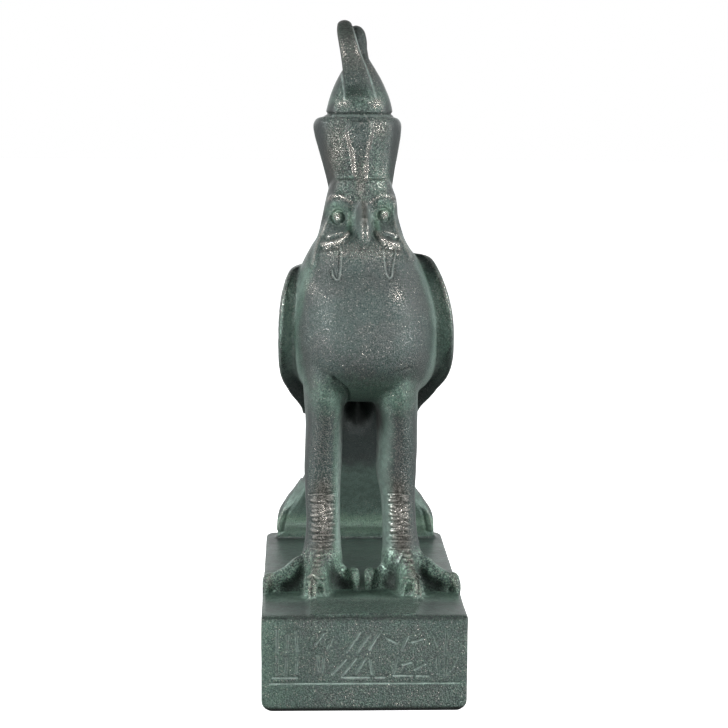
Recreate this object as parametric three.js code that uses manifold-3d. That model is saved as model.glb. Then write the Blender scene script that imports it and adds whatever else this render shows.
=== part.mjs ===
// Horus falcon figure: a falcon in the double crown, cast in one with its plinth.
// Millimetres, +Z up, +X to the right of someone facing the falcon, which looks along -Y.
// The origin is the centre of the plinth's underside.

import * as THREE from 'three';
import { mergeVertices } from 'three/addons/utils/BufferGeometryUtils.js';
import Module from 'manifold-3d';

// Driving dimensions
const falconHeight = 229.4; // from the plinth's top to the top of the crown's curl
const plinthHeight = 38.3;
const plinthBackCorner = 5; // radius of the plinth's upright back corners
const plinthTopEdge = 1.6; // radius of its top and front edges
const plinthFootEdge = 4; // radius of the long edges beside its underside
const frontMargin = 24; // plinth in front of the middle claws
const backMargin = 1.4; // plinth behind the tail
const sideMargin = 0.7; // plinth beside the outer claws
const toePadHeight = 0.8; // low pad in front of the middle claws
const strokeDepth = 0.8; // worn strokes of the inscription
const strokeWidth = 1.3;
const strokePitch = 7.4; // from one upright stroke to the next
const strokeBandHeight = 19;
const ruleHeight = 11.5; // long groove below the strokes, above the underside
const ruleWidth = 1.1;

// The falcon's forms are drawn at the height below and keep their proportions at any height.
const drawnHeight = 229.4;
const scale = falconHeight / drawnHeight;

const bronze = new THREE.MeshStandardMaterial({ color: 0x56685f, roughness: 0.5, metalness: 0.7 });

const wasm = await Module();
wasm.setup();

const LEFT = 180; // angles round a section, in degrees: 0 is the viewer's right, 90 the back

// Turns a closed geometry into a solid for joining and cutting.
function solid(geometry) {
  const bare = geometry.clone();
  bare.deleteAttribute('normal');
  bare.deleteAttribute('uv');
  const merged = mergeVertices(bare, 1e-4);
  const mesh = new wasm.Mesh({
    numProp: 3,
    vertProperties: new Float32Array(merged.attributes.position.array),
    triVerts: new Uint32Array(merged.index.array),
  });
  return new wasm.Manifold(mesh);
}

function toGeometry(body) {
  const mesh = body.getMesh();
  const geometry = new THREE.BufferGeometry();
  geometry.setAttribute('position', new THREE.BufferAttribute(mesh.vertProperties, 3));
  geometry.setIndex(new THREE.BufferAttribute(mesh.triVerts, 1));
  geometry.computeVertexNormals();
  return geometry;
}

// Smooth value of a table of rows at t, where whole numbers fall on the rows.
function smooth(rows, t) {
  const last = rows.length - 1;
  const i = Math.min(Math.floor(t), last - 1);
  const u = t - i;
  const before = rows[Math.max(i - 1, 0)];
  const after = rows[Math.min(i + 2, last)];
  return rows[i].map((value, k) => {
    const next = rows[i + 1][k];
    const slopeIn = (next - before[k]) / 2;
    const slopeOut = (after[k] - value) / 2;
    const turn = 2 * (value - next) + slopeIn + slopeOut;
    return value + u * (slopeIn + u * (3 * (next - value) - 2 * slopeIn - slopeOut + u * turn));
  });
}

// Joins rows of points into a closed skin. Each row closes on itself and the end rows get a cap.
function closedSkin(rows) {
  const around = rows[0].length;
  const points = rows.flat();
  const index = [];
  for (let i = 0; i + 1 < rows.length; i++) {
    for (let j = 0; j < around; j++) {
      const [a, b] = [i * around + j, i * around + ((j + 1) % around)];
      index.push(a, b, b + around, a, b + around, a + around);
    }
  }
  for (const [row, start] of [[rows[0], 0], [rows.at(-1), (rows.length - 1) * around]]) {
    const middle = new THREE.Vector3();
    row.forEach((p) => middle.addScaledVector(p, 1 / around));
    const hub = points.push(middle) - 1;
    for (let j = 0; j < around; j++) {
      const [a, b] = [start + j, start + ((j + 1) % around)];
      index.push(...(start === 0 ? [hub, b, a] : [hub, a, b]));
    }
  }
  const geometry = new THREE.BufferGeometry().setFromPoints(points);
  geometry.setIndex(enclosedVolume(points, index) < 0 ? index.reverse() : index);
  return geometry;
}

function enclosedVolume(points, index) {
  let volume = 0;
  for (let i = 0; i < index.length; i += 3) {
    const [a, b, c] = [0, 1, 2].map((k) => points[index[i + k]]);
    volume += a.dot(b.clone().cross(c)) / 6;
  }
  return volume;
}

// A form carried along a path that keeps to one plane. Each station holds its place x, y, z, its
// half width along `side`, its reach to the front and to the back, and its roundness, where 2 is
// an ellipse and more is squarer. The back is side x direction of travel.
class Form {
  constructor(stations, side = [1, 0, 0]) {
    this.stations = stations;
    this.side = new THREE.Vector3(...side).normalize();
    this.end = stations.length - 1;
  }

  centre(t) {
    return new THREE.Vector3(...smooth(this.stations, THREE.MathUtils.clamp(t, 0, this.end)));
  }

  // The point at an angle round the section, moved outwards by `lift`.
  point(t, angle, lift = 0) {
    const step = 0.02;
    const [x, y, z, half, front, back, roundness] = smooth(this.stations, t);
    const travel = this.centre(t + step).sub(this.centre(t - step)).normalize();
    const rear = this.side.clone().cross(travel).normalize();
    const [c, s] = [Math.cos(angle * THREE.MathUtils.DEG2RAD), Math.sin(angle * THREE.MathUtils.DEG2RAD)];
    const reach = s < 0 ? front : back;
    const out = new THREE.Vector2(c / half, s / reach).normalize().multiplyScalar(lift);
    const bulge = (v) => Math.sign(v) * Math.abs(v) ** (2 / roundness);
    return new THREE.Vector3(x, y, z)
      .addScaledVector(this.side, half * bulge(c) + out.x)
      .addScaledVector(rear, reach * bulge(s) + out.y);
  }

  skin(steps, around) {
    const rows = [];
    for (let i = 0; i <= steps; i++) {
      const ring = [];
      for (let j = 0; j < around; j++) ring.push(this.point((i / steps) * this.end, (j / around) * 360));
      rows.push(ring);
    }
    return closedSkin(rows);
  }

  // The point of the front that lies at x and z, found by halving the path.
  onFront(x, z, lift = 0) {
    let [low, high] = [0, this.end];
    let found = null;
    for (let k = 0; k < 30; k++) {
      const t = (low + high) / 2;
      const [middle, , , half, , , roundness] = smooth(this.stations, t);
      const across = THREE.MathUtils.clamp((x - middle) / half, -0.98, 0.98);
      const c = Math.sign(across) * Math.abs(across) ** (roundness / 2);
      found = this.point(t, -Math.acos(c) * THREE.MathUtils.RAD2DEG, lift);
      if (found.z > z) low = t;
      else high = t;
    }
    return found;
  }
}

// A round bead along a smooth line through the points.
function bead(points, radius, steps = 8, sides = 3) {
  const path = new THREE.CatmullRomCurve3(points);
  const shape = new THREE.Shape().absarc(0, 0, radius, 0, 2 * Math.PI);
  return new THREE.ExtrudeGeometry(shape, { steps, extrudePath: path, curveSegments: sides });
}

function ball(centre, radii, around = 12, rings = 8) {
  const geometry = new THREE.SphereGeometry(1, around, rings);
  return geometry.scale(...radii).translate(centre.x, centre.y, centre.z);
}

// Head, neck, breast, belly and tail in one run, from under the crown to the plinth's back.
const trunk = new Form([
  [-0.8, -13.5, 165.7, 12.0, 13.0, 13.8, 2.2],
  [-0.5, -14.0, 157.7, 14.5, 13.6, 16.0, 2.3],
  [-0.9, -14.5, 150.2, 15.7, 12.3, 19.4, 2.5],
  [-0.6, -15.2, 143.2, 17.6, 17.5, 23.8, 2.4],
  [-0.8, -15.6, 138.7, 20.2, 22.6, 26.0, 2.3],
  [-0.3, -16.0, 130.7, 24.6, 27.7, 29.3, 2.25],
  [0.8, -15.5, 118.7, 28.6, 36.3, 32.9, 2.25],
  [1.3, -13.0, 106.2, 30.2, 42.5, 34.6, 2.25],
  [1.5, -7.5, 94.7, 30.0, 29.5, 34.6, 2.3],
  [1.2, 2.0, 82.7, 26.6, 12.3, 32.5, 2.3],
  [0.6, 13.5, 69.7, 19.0, 4.8, 27.1, 2.4],
  [0.3, 25.0, 54.2, 16.5, 3.8, 22.1, 2.6],
  [0.1, 36.0, 36.7, 19.6, 3.6, 18.6, 2.9],
  [-0.1, 46.0, 20.2, 27.8, 2.5, 15.2, 3.4],
  [0.0, 50.7, 12.3, 34.6, 2.0, 13.6, 3.8],
  [0.5, 55.0, 5.2, 35.9, 1.6, 11.9, 4.0],
  [0.7, 61.0, -5.0, 35.2, 1.5, 8.5, 4.0],
]);

// A folded wing over the trunk's flank. Each row holds the station on the trunk, the angles of
// the leading edge and of the edge on the back, and how far the wing stands off the flank.
const wingRows = [
  [5.0, 2, 64, 3.8],
  [5.4, -12, 74, 5.6],
  [6.0, -19, 81, 6.0],
  [7.0, -21, 85, 5.8],
  [8.0, -20, 86, 5.7],
  [8.7, -19, 86, 6.3],
  [9.4, -16, 86, 6.6],
  [10.1, -9, 86, 6.6],
  [10.9, 24, 86, 5.4],
  [12.0, 64, 86, 2.4],
  [12.4, 78, 86, 1.4],
];
const wingAcross = [0, 0.004, 0.05, 0.16, 0.28, 0.4, 0.52, 0.64, 0.76, 0.88, 0.996, 1];
const wingSink = -3; // how deep the hidden side lies in the trunk
const featherDepth = 0.8;

function wing(mirror, shoulderRise, shoulderSwell) {
  const steps = 16;
  const rows = [];
  for (let i = 0; i <= steps; i++) {
    const along = i / steps;
    const [station, lead, rear, flatStand] = smooth(wingRows, along * (wingRows.length - 1));
    const stand = flatStand + shoulderSwell * (1 - along) ** 4;
    const t = station - shoulderRise * (1 - along) ** 4;
    const cap = i === 0 || i === steps ? 0.25 : 1;
    const feathers = featherDepth * THREE.MathUtils.smoothstep(along, 0.35, 0.6) * cap;
    const angleAt = (share) => {
      const angle = lead + (rear - lead) * share;
      return mirror ? LEFT - angle : angle;
    };
    const outer = wingAcross.map((share, j) => {
      const rim = j === 0 || j === wingAcross.length - 1;
      const thin = 1 - 0.45 * share;
      const flute = j % 2 ? feathers : 0;
      return trunk.point(t, angleAt(share), rim ? wingSink : cap * stand * thin - flute);
    });
    const inner = wingAcross.slice(2, -2).reverse().map((share) => trunk.point(t, angleAt(share), wingSink));
    rows.push([...outer, ...inner]);
  }
  return closedSkin(rows);
}

// Legs, from inside the belly down to where the toes spread.
const leftLeg = new Form([
  [-15.0, -22.0, 94, 10.0, 24.0, 16.0, 2.1],
  [-15.2, -23.0, 82, 8.8, 22.5, 15.0, 2.1],
  [-15.3, -23.0, 70, 7.8, 17.5, 13.5, 2.1],
  [-15.5, -23.0, 59, 7.7, 13.4, 11.5, 2.1],
  [-15.8, -23.0, 48, 7.7, 10.0, 9.5, 2.1],
  [-15.8, -23.0, 38, 7.2, 8.0, 8.2, 2.1],
  [-15.6, -23.0, 27, 7.0, 7.6, 7.6, 2.1],
  [-15.7, -23.2, 18, 7.6, 8.0, 8.0, 2.1],
  [-16.2, -24.0, 11, 8.6, 9.0, 9.0, 2.0],
  [-16.6, -24.5, 5, 8.6, 9.4, 9.0, 2.0],
  [-16.8, -25.0, -2, 8.4, 9.4, 9.0, 2.0],
]);
const rightLeg = new Form([
  [13.6, -22.0, 94, 10.0, 24.0, 16.0, 2.1],
  [13.8, -23.0, 82, 9.0, 22.5, 15.0, 2.1],
  [14.2, -23.0, 70, 8.5, 17.5, 13.5, 2.1],
  [14.4, -23.0, 59, 8.4, 13.4, 11.5, 2.1],
  [14.1, -23.0, 48, 8.3, 10.0, 9.5, 2.1],
  [14.9, -23.0, 38, 7.2, 8.0, 8.2, 2.1],
  [15.5, -23.0, 27, 7.0, 7.6, 7.6, 2.1],
  [16.2, -23.2, 18, 7.5, 8.0, 8.0, 2.1],
  [16.8, -24.0, 11, 8.6, 9.0, 9.0, 2.0],
  [17.2, -24.5, 5, 8.6, 9.4, 9.0, 2.0],
  [17.4, -25.0, -2, 8.4, 9.4, 9.0, 2.0],
]);

// The horny plates down the front of a shank: a strip whose front swells once for each plate.
function scutes(leg, shift) {
  const [top, bottom, plates] = [41, 16, 7];
  const rows = [];
  for (let i = 0; i <= 2 * plates; i++) {
    const z = top + ((bottom - top) * i) / (2 * plates);
    const swell = i % 2 ? 1.5 : 0.5;
    const front = leg.onFront(leg.centre(5).x + shift, z);
    rows.push([front.x, front.y + 1.6, z, 4.6 + (i % 2 ? 0.3 : -0.2), 1.6 + swell - 0.6, 2, 2.6]);
  }
  return new Form(rows).skin(2 * plates, 8);
}

// A toe lies in the upright plane through its first and last points. Each row holds the distance
// along the toe, its height, its half width, the reach below and the reach above its line.
function toe(start, end, heights, widths) {
  const from = new THREE.Vector2(...start);
  const heading = new THREE.Vector2(...end).sub(from);
  const side = [heading.y, -heading.x, 0];
  const rows = heights.map((height, i) => {
    const p = from.clone().addScaledVector(heading, i / (heights.length - 1));
    return [p.x, p.y, height, widths[i], height + 2, widths[i] * 0.75, 1.9];
  });
  return new Form(rows, side).skin(4, 8);
}

// A claw hooks forwards and down from the end of its toe to the plinth.
function claw(start, tip, height) {
  const at = (share) => [start[0] + (tip[0] - start[0]) * share, start[1] + (tip[1] - start[1]) * share];
  const side = [tip[1] - start[1], start[0] - tip[0], 0];
  const rows = [
    [...at(-0.6), height - 1.0, 1.8, 1.8, 1.6, 2],
    [...at(0.1), height, 2.2, 2.4, 2.0, 2],
    [...at(0.55), height * 0.72, 1.9, 2.2, 1.8, 2],
    [...at(0.9), height * 0.3, 1.3, 1.6, 1.3, 2],
    [...at(1), -0.8, 0.7, 0.8, 0.7, 2],
  ];
  return new Form(rows, side).skin(4, 6);
}

const leftFoot = {
  middle: { start: [-16.0, -27], end: [-20.2, -43], tip: [-20.1, -46.7] },
  outer: { start: [-18.0, -25.5], end: [-37.0, -33.2], tip: [-39.3, -35.4] },
  inner: { start: [-13.5, -25.5], end: [-3.4, -28], tip: [-2.3, -31.4] },
  hind: { start: [-15.5, -19], end: [-15.0, -8.5], tip: [-14.8, -5] },
};
const rightFoot = {
  middle: { start: [17.0, -27], end: [21.6, -42], tip: [22.4, -45.6] },
  outer: { start: [19.0, -25.5], end: [37.4, -33.4], tip: [39.3, -35.8] },
  inner: { start: [14.5, -25.5], end: [3.8, -28], tip: [2.8, -31.2] },
  hind: { start: [16.0, -19], end: [15.6, -8.5], tip: [15.4, -5] },
};
const toeHeights = {
  middle: [13, 11.2, 9.4, 7.6, 5.0],
  outer: [13, 10.6, 8.8, 6.8, 4.2],
  inner: [13, 10.4, 8.6, 7.0, 4.8],
  hind: [8, 6.6, 5.4, 4.4, 3.0],
};
const toeWidths = [6.0, 5.4, 4.9, 4.5, 2.8];
const clawHeight = { middle: 6.4, outer: 4.6, inner: 5.6, hind: 3.4 };

function footSkins(foot) {
  return Object.entries(foot).flatMap(([name, { start, end, tip }]) => [
    toe(start, end, toeHeights[name], toeWidths),
    claw(end, tip, clawHeight[name]),
  ]);
}

// Eyes, brows, beak and the ledge of the cheeks.
const headAxis = -0.9;
const eyeSpread = 9.7;
const eyeHeight = 152;

function face() {
  const parts = [];
  for (const way of [-1, 1]) {
    const eye = trunk.onFront(headAxis + way * eyeSpread, eyeHeight, -0.4);
    parts.push(ball(eye, [2.1, 2.0, 2.1], 10, 6));
    const rim = new THREE.TorusGeometry(2.9, 0.7, 4, 10).rotateX(Math.PI / 2).rotateZ(way * 0.55);
    parts.push(rim.translate(eye.x, eye.y - 0.5, eye.z));
    const brow = [[12.2, 158.4], [9.2, 160.0], [6.2, 159.6], [3.4, 156.8]];
    parts.push(bead(brow.map(([x, z]) => trunk.onFront(headAxis + way * x, z, -0.6)), 1.7, 6));
    const cheek = [[15.4, 141.4], [11.6, 142.6], [8.0, 143.6], [4.6, 144.4]];
    parts.push(bead(cheek.map(([x, z]) => trunk.onFront(headAxis + way * x, z, -0.9)), 2.0, 6));
    const collar = [[14.8, 150], [17.0, 141.5], [19.4, 133.0]];
    parts.push(bead(collar.map(([x, z]) => trunk.onFront(headAxis + way * x, z, -0.6)), 1.3, 5));
  }
  const beak = new Form([
    [-0.8, -24.0, 161.0, 1.6, 2.6, 3.0, 2],
    [-0.6, -25.2, 156.5, 2.6, 3.8, 4.0, 1.8],
    [-0.2, -26.2, 151.5, 4.0, 6.2, 4.0, 1.7],
    [0.2, -28.0, 147.2, 4.4, 7.6, 5.0, 1.8],
    [0.4, -31.5, 144.0, 3.2, 6.4, 4.0, 1.9],
    [0.5, -36.0, 142.4, 1.6, 2.6, 2.4, 2],
  ]);
  parts.push(beak.skin(8, 10));
  return parts;
}

// The stripe that hangs from each cheek, cut as a fine groove round its edge.
function cheekStripes() {
  const edge = [[7.4, 138.6], [7.8, 131.0], [10.0, 127.6], [12.2, 131.0], [14.2, 138.8]];
  return [-1, 1].map((way) => {
    return bead(edge.map(([x, z]) => trunk.onFront(headAxis + way * x, z, 0.1)), 0.6, 12);
  });
}

// The lower crown: a cap that flares upwards to a rounded lip.
const cap = new Form([
  [-2.0, -7.6, 191.0, 12.5, 12.8, 12.8, 2],
  [-2.0, -7.6, 190.6, 15.6, 16.0, 16.0, 2],
  [-2.0, -7.7, 189.3, 17.3, 17.8, 17.8, 2],
  [-2.0, -7.9, 187.0, 18.0, 18.4, 18.4, 2],
  [-1.7, -8.5, 182.0, 17.3, 17.7, 17.7, 2],
  [-1.2, -9.6, 173.0, 15.2, 15.6, 15.6, 2],
  [-0.8, -10.9, 162.5, 13.0, 13.6, 13.6, 2],
  [-0.8, -11.6, 157.0, 12.0, 12.4, 12.4, 2],
]);

// The tall inner crown with its knob.
const innerCrown = new Form([
  [-2.6, -1.3, 227.7, 0.6, 0.6, 0.6, 2],
  [-2.5, -1.3, 226.9, 2.2, 2.2, 2.2, 2],
  [-2.1, -1.5, 224.8, 3.4, 3.4, 3.4, 2],
  [-1.5, -1.8, 221.0, 3.6, 3.6, 3.6, 2],
  [-1.1, -2.2, 217.4, 3.3, 3.3, 3.3, 2],
  [-1.1, -2.6, 214.6, 3.9, 3.9, 3.9, 2],
  [-1.2, -3.2, 210.0, 6.7, 6.7, 6.7, 2],
  [-1.2, -4.1, 204.5, 9.8, 9.9, 9.9, 2],
  [-1.2, -5.1, 198.8, 12.1, 12.3, 12.3, 2],
  [-1.2, -6.2, 193.0, 13.6, 13.9, 13.9, 2],
  [-1.3, -7.2, 187.0, 14.0, 14.3, 14.3, 2],
]);

// The tall back panel of the lower crown, leaning back.
const backPanel = new Form([
  [-1.3, 12.6, 220.4, 3.0, 1.2, 1.2, 3],
  [-1.3, 12.4, 219.0, 3.9, 1.6, 1.5, 3],
  [-1.3, 11.4, 213.0, 5.0, 2.0, 1.7, 3],
  [-1.5, 9.8, 204.0, 7.0, 2.4, 1.9, 3],
  [-1.7, 8.3, 195.0, 9.4, 2.8, 2.2, 3],
  [-1.9, 6.6, 185.0, 11.4, 3.0, 2.6, 3],
]);

// The curl that rises in front of the inner crown and bends back over its knob.
const curl = new Form([
  [-1.2, -12.5, 195.0, 6.0, 2.4, 2.4, 2.4],
  [-2.0, -17.4, 200.5, 5.6, 2.0, 2.0, 2.8],
  [-3.0, -18.4, 206.5, 5.2, 1.9, 1.9, 2.8],
  [-4.4, -17.6, 213.2, 4.6, 1.8, 1.8, 2.8],
  [-5.9, -15.8, 219.6, 4.1, 1.8, 1.8, 2.6],
  [-7.1, -13.2, 225.0, 3.6, 1.8, 1.8, 2.4],
  [-7.5, -10.2, 227.6, 3.3, 1.8, 1.8, 2.2],
  [-7.2, -7.2, 226.9, 3.0, 1.7, 1.7, 2.2],
  [-6.4, -4.8, 224.0, 2.4, 1.4, 1.4, 2.2],
]);

// The cobra on the front of the cap: a spread hood under a small head, thinning to the brow.
function cobra() {
  const rows = [
    [-1.6, 186.2, 3.2, 0.9], [-1.7, 183.0, 5.0, 1.5], [-1.5, 177.5, 4.3, 1.6],
    [-1.3, 171.5, 3.2, 1.5], [-1.1, 166.0, 2.4, 1.4], [-1.1, 160.5, 1.9, 1.6],
  ];
  const stations = rows.map(([x, z, half, rise]) => {
    const front = cap.onFront(x, z);
    return [x, front.y + 1, z, half, rise + 1, 2, 2.8];
  });
  const hood = new Form(stations).skin(6, 8);
  const head = cap.onFront(-1.0, 188.2);
  return [hood, ball(head, [1.9, 2.3, 1.5], 8, 6)];
}

function falconSolid() {
  const skins = [
    trunk.skin(30, 22), wing(false, 0.6, 1.6), wing(true, 0.05, -0.8),
    leftLeg.skin(11, 12), rightLeg.skin(11, 12), scutes(leftLeg, 0.6), scutes(rightLeg, 0.2),
    ...footSkins(leftFoot), ...footSkins(rightFoot), ...face(),
    cap.skin(8, 22), innerCrown.skin(11, 14), backPanel.skin(5, 8), curl.skin(10, 8), ...cobra(),
  ];
  const joined = skins.map(solid).reduce((whole, next) => whole.add(next));
  return cheekStripes().map(solid).reduce((whole, groove) => whole.subtract(groove), joined);
}

// The plinth follows the stance: the claws, the tail and the named margins give its sides.
const clawTips = [...Object.values(leftFoot), ...Object.values(rightFoot)].map(({ tip }) => tip);
const clawReach = Math.max(...clawTips.map(([x]) => Math.abs(x))) * scale;
const tailBack = 69.3 * scale;
const plinth = {
  front: Math.min(...clawTips.map(([, y]) => y)) * scale - frontMargin,
  back: tailBack + backMargin,
  halfWidth: clawReach + sideMargin,
};
plinth.length = plinth.back - plinth.front;
plinth.middle = (plinth.back + plinth.front) / 2;

// How far a rounded edge has drawn in at a distance from the end that it turns round to.
function drawnIn(distance, radius) {
  return distance < radius ? radius - Math.sqrt(radius ** 2 - (radius - distance) ** 2) : 0;
}

// The plinth's front outline, with rounder corners at its foot, at a place along its length.
function plinthRing(y, insetAcross, insetUp, turns = 4) {
  const middle = -plinthHeight / 2;
  const ring = [];
  for (const [k, [right, up]] of [[1, 1], [-1, 1], [-1, -1], [1, -1]].entries()) {
    const radius = up > 0 ? plinthTopEdge : plinthFootEdge;
    const x = right * (plinth.halfWidth - insetAcross - radius);
    const z = middle + up * (plinthHeight / 2 - insetUp - radius);
    for (let i = 0; i <= turns; i++) {
      const angle = (k + i / turns) * (Math.PI / 2);
      ring.push(new THREE.Vector3(x + radius * Math.cos(angle), y, z + radius * Math.sin(angle)));
    }
  }
  return ring;
}

function plinthBlock() {
  const frontRows = [0, 0.3, 1].map((share) => {
    const inset = drawnIn(share * plinthTopEdge, plinthTopEdge);
    return plinthRing(plinth.front + share * plinthTopEdge, inset, inset);
  });
  const backRows = [1, 0.6, 0.32, 0.12, 0.03, 0].map((share) => {
    const distance = share * plinthBackCorner;
    const across = drawnIn(distance, plinthBackCorner);
    return plinthRing(plinth.back - distance, across, drawnIn(distance, plinthTopEdge));
  });
  return closedSkin([...frontRows, ...backRows]);
}

// The low pad between the middle claws and the plinth's front edge.
function toePad() {
  const [left, right] = [leftFoot.middle.tip[0] * scale - 1.5, rightFoot.middle.tip[0] * scale + 3];
  const [front, back] = [plinth.front + plinthTopEdge, leftFoot.middle.tip[1] * scale + 2];
  const pad = new THREE.BoxGeometry(right - left, back - front, 2 * toePadHeight);
  return pad.translate((left + right) / 2, (front + back) / 2, 0);
}

// A shallow stroke in the front face, `length` long, leaning by `lean` degrees from upright.
function stroke(x, z, length, width, lean) {
  const cut = new THREE.BoxGeometry(width, 2 * strokeDepth, length);
  return cut.rotateY(lean * THREE.MathUtils.DEG2RAD).translate(x, plinth.front, z);
}

// Where an inscription stood: two rows of short upright strokes and a row of level ones, with one
// long groove under them all. None of them is a sign or a letter.
function frontStrokes() {
  const ruleZ = ruleHeight - plinthHeight;
  const inner = plinth.halfWidth - plinthFootEdge;
  const count = Math.floor((2 * inner) / strokePitch);
  const rows = [
    { foot: 0.62, height: 0.34, lengths: [1, 0.7, 1, 0.8], lean: 7, skip: 4 },
    { foot: 0.2, height: 0.34, lengths: [1, 1, 0.6], lean: -9, skip: 5 },
    { foot: 0.09, height: 0, lengths: [0.7], lean: 0, skip: 3 },
  ];
  const cuts = [stroke(0, ruleZ, 2 * inner + strokeWidth, ruleWidth, 90)];
  for (const [k, row] of rows.entries()) {
    for (let i = 0; i < count; i++) {
      if (i % row.skip === k) continue;
      const x = (i - (count - 1) / 2) * strokePitch;
      const share = row.lengths[i % row.lengths.length];
      const upright = row.height > 0;
      const length = share * (upright ? strokeBandHeight * row.height : strokePitch);
      const z = ruleZ + strokeBandHeight * (row.foot + row.height / 2);
      cuts.push(stroke(x, z, length, strokeWidth, upright ? row.lean * ((i % 3) - 1) : 90));
    }
  }
  return cuts;
}

function figure() {
  const falcon = falconSolid().scale([scale, scale, scale]);
  const aboveUnderside = falcon.trimByPlane([0, 0, 1], 0.5 - plinthHeight);
  const standing = solid(plinthBlock()).add(solid(toePad())).add(aboveUnderside);
  const cut = frontStrokes().map(solid).reduce((whole, groove) => whole.subtract(groove), standing);
  const mesh = new THREE.Mesh(toGeometry(cut), bronze);
  mesh.name = 'horus_falcon_figure';
  mesh.position.set(0, -plinth.middle, plinthHeight);
  return mesh;
}

const model = new THREE.Group();
model.add(figure());

export default model;
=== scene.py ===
"""Horus falcon figure: a falcon in the double crown, cast in one with its plinth and patinated.

The bird is drawn in millimetres: x to the right of someone facing it, y towards its tail and z up
from the plinth's top. The finished mesh is in metres, in the part's own frame, with z from the
plinth's underside. Forms are surfaces worked out on grids. They are joined by a voxel skin, their
creases are filled as a casting fills them, and the fine relief is carved into the joined skin.
"""

import math

import bpy
import numpy as np
from mathutils import Matrix, Vector


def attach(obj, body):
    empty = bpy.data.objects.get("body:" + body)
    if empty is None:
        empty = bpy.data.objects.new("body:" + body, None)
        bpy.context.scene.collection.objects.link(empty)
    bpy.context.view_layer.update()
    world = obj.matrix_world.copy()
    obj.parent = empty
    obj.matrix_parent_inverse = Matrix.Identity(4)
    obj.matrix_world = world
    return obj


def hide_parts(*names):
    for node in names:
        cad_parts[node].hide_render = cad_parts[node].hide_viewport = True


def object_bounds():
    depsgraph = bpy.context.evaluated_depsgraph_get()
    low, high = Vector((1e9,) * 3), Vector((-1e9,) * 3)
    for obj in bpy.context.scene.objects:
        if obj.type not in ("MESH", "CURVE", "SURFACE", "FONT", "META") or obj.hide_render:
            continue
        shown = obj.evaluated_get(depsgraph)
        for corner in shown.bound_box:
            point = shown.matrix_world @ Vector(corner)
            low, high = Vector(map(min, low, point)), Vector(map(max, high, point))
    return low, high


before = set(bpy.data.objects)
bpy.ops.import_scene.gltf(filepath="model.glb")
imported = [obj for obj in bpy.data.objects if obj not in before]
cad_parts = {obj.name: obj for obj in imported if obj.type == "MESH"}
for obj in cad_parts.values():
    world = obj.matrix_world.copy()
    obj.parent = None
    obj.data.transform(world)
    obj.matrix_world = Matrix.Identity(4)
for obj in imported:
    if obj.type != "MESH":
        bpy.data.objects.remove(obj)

bl_info = {
    "name": "Horus falcon figure",
    "version": (1, 0, 0),
    "blender": (4, 5, 0),
    "location": "View3D > Sidebar > Falcon",
    "description": "Casts, patinates and lights a falcon in the double crown on its plinth",
    "category": "Add Mesh",
}

CAD_NODE = "horus_falcon_figure"
CAD_LOW, CAD_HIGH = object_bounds()
MM = 0.001
IMAGE_SIDE = 728  # pixels on each side of the picture
SENSOR = 36.0  # millimetres across the camera's sensor
LEFT = 180.0  # degrees round a section: 0 is the right side, 90 the back, -90 the front
SIDEWAYS = (1.0, 0.0, 0.0)


# Tables of the forms. A station holds x, y, z, half width, reach to the front, reach to the back
# and roundness, where 2 is an ellipse and more is squarer.

TRUNK = np.array([
    [-0.8, -13.5, 165.7, 12.0, 13.0, 13.8, 2.2],
    [-0.5, -14.0, 157.7, 14.5, 13.6, 16.0, 2.3],
    [-0.9, -14.5, 150.2, 15.7, 12.3, 19.4, 2.5],
    [-0.6, -15.2, 143.2, 17.6, 17.5, 23.8, 2.4],
    [-0.8, -15.6, 138.7, 20.2, 22.6, 26.0, 2.3],
    [-0.3, -16.0, 130.7, 24.6, 27.7, 29.3, 2.25],
    [0.8, -15.5, 118.7, 28.6, 36.3, 32.9, 2.25],
    [1.3, -13.0, 106.2, 30.2, 42.5, 34.6, 2.25],
    [1.5, -7.5, 94.7, 30.0, 29.5, 34.6, 2.3],
    [1.2, 2.0, 82.7, 26.6, 12.3, 32.5, 2.3],
    [0.6, 13.5, 69.7, 19.0, 4.8, 27.1, 2.4],
    [0.3, 25.0, 54.2, 16.5, 3.8, 22.1, 2.6],
    [0.1, 36.0, 36.7, 19.6, 3.6, 18.6, 2.9],
    [-0.1, 46.0, 20.2, 27.8, 2.5, 15.2, 3.4],
    [0.0, 50.7, 12.3, 34.6, 2.0, 13.6, 3.8],
    [0.5, 55.0, 5.2, 35.9, 1.6, 11.9, 4.0],
    [0.7, 61.0, -5.0, 35.2, 1.5, 8.5, 4.0],
])

# Station on the trunk, angle of the leading edge, angle of the edge on the back, stand-off.
WING = np.array([
    [5.0, 2, 64, 3.8],
    [5.4, -12, 74, 5.6],
    [6.0, -19, 81, 6.0],
    [7.0, -21, 85, 5.8],
    [8.0, -20, 86, 5.7],
    [8.7, -19, 86, 5.6],
    [9.4, -16, 86, 6.1],
    [10.1, -9, 86, 6.6],
    [10.9, 24, 86, 5.4],
    [12.0, 64, 86, 2.4],
    [12.4, 78, 86, 1.4],
])
WING_SINK = -3.0  # how deep a wing's hidden side lies in the trunk
# Degrees that the open channel behind a leading edge runs back, at each tenth of the wing.
CHANNEL = np.array([[4.0, 4.0, 2.2, 1.4, 1.2, 1.2, 1.4, 1.8, 2.2, 2.2, 2.0]]).T

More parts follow.
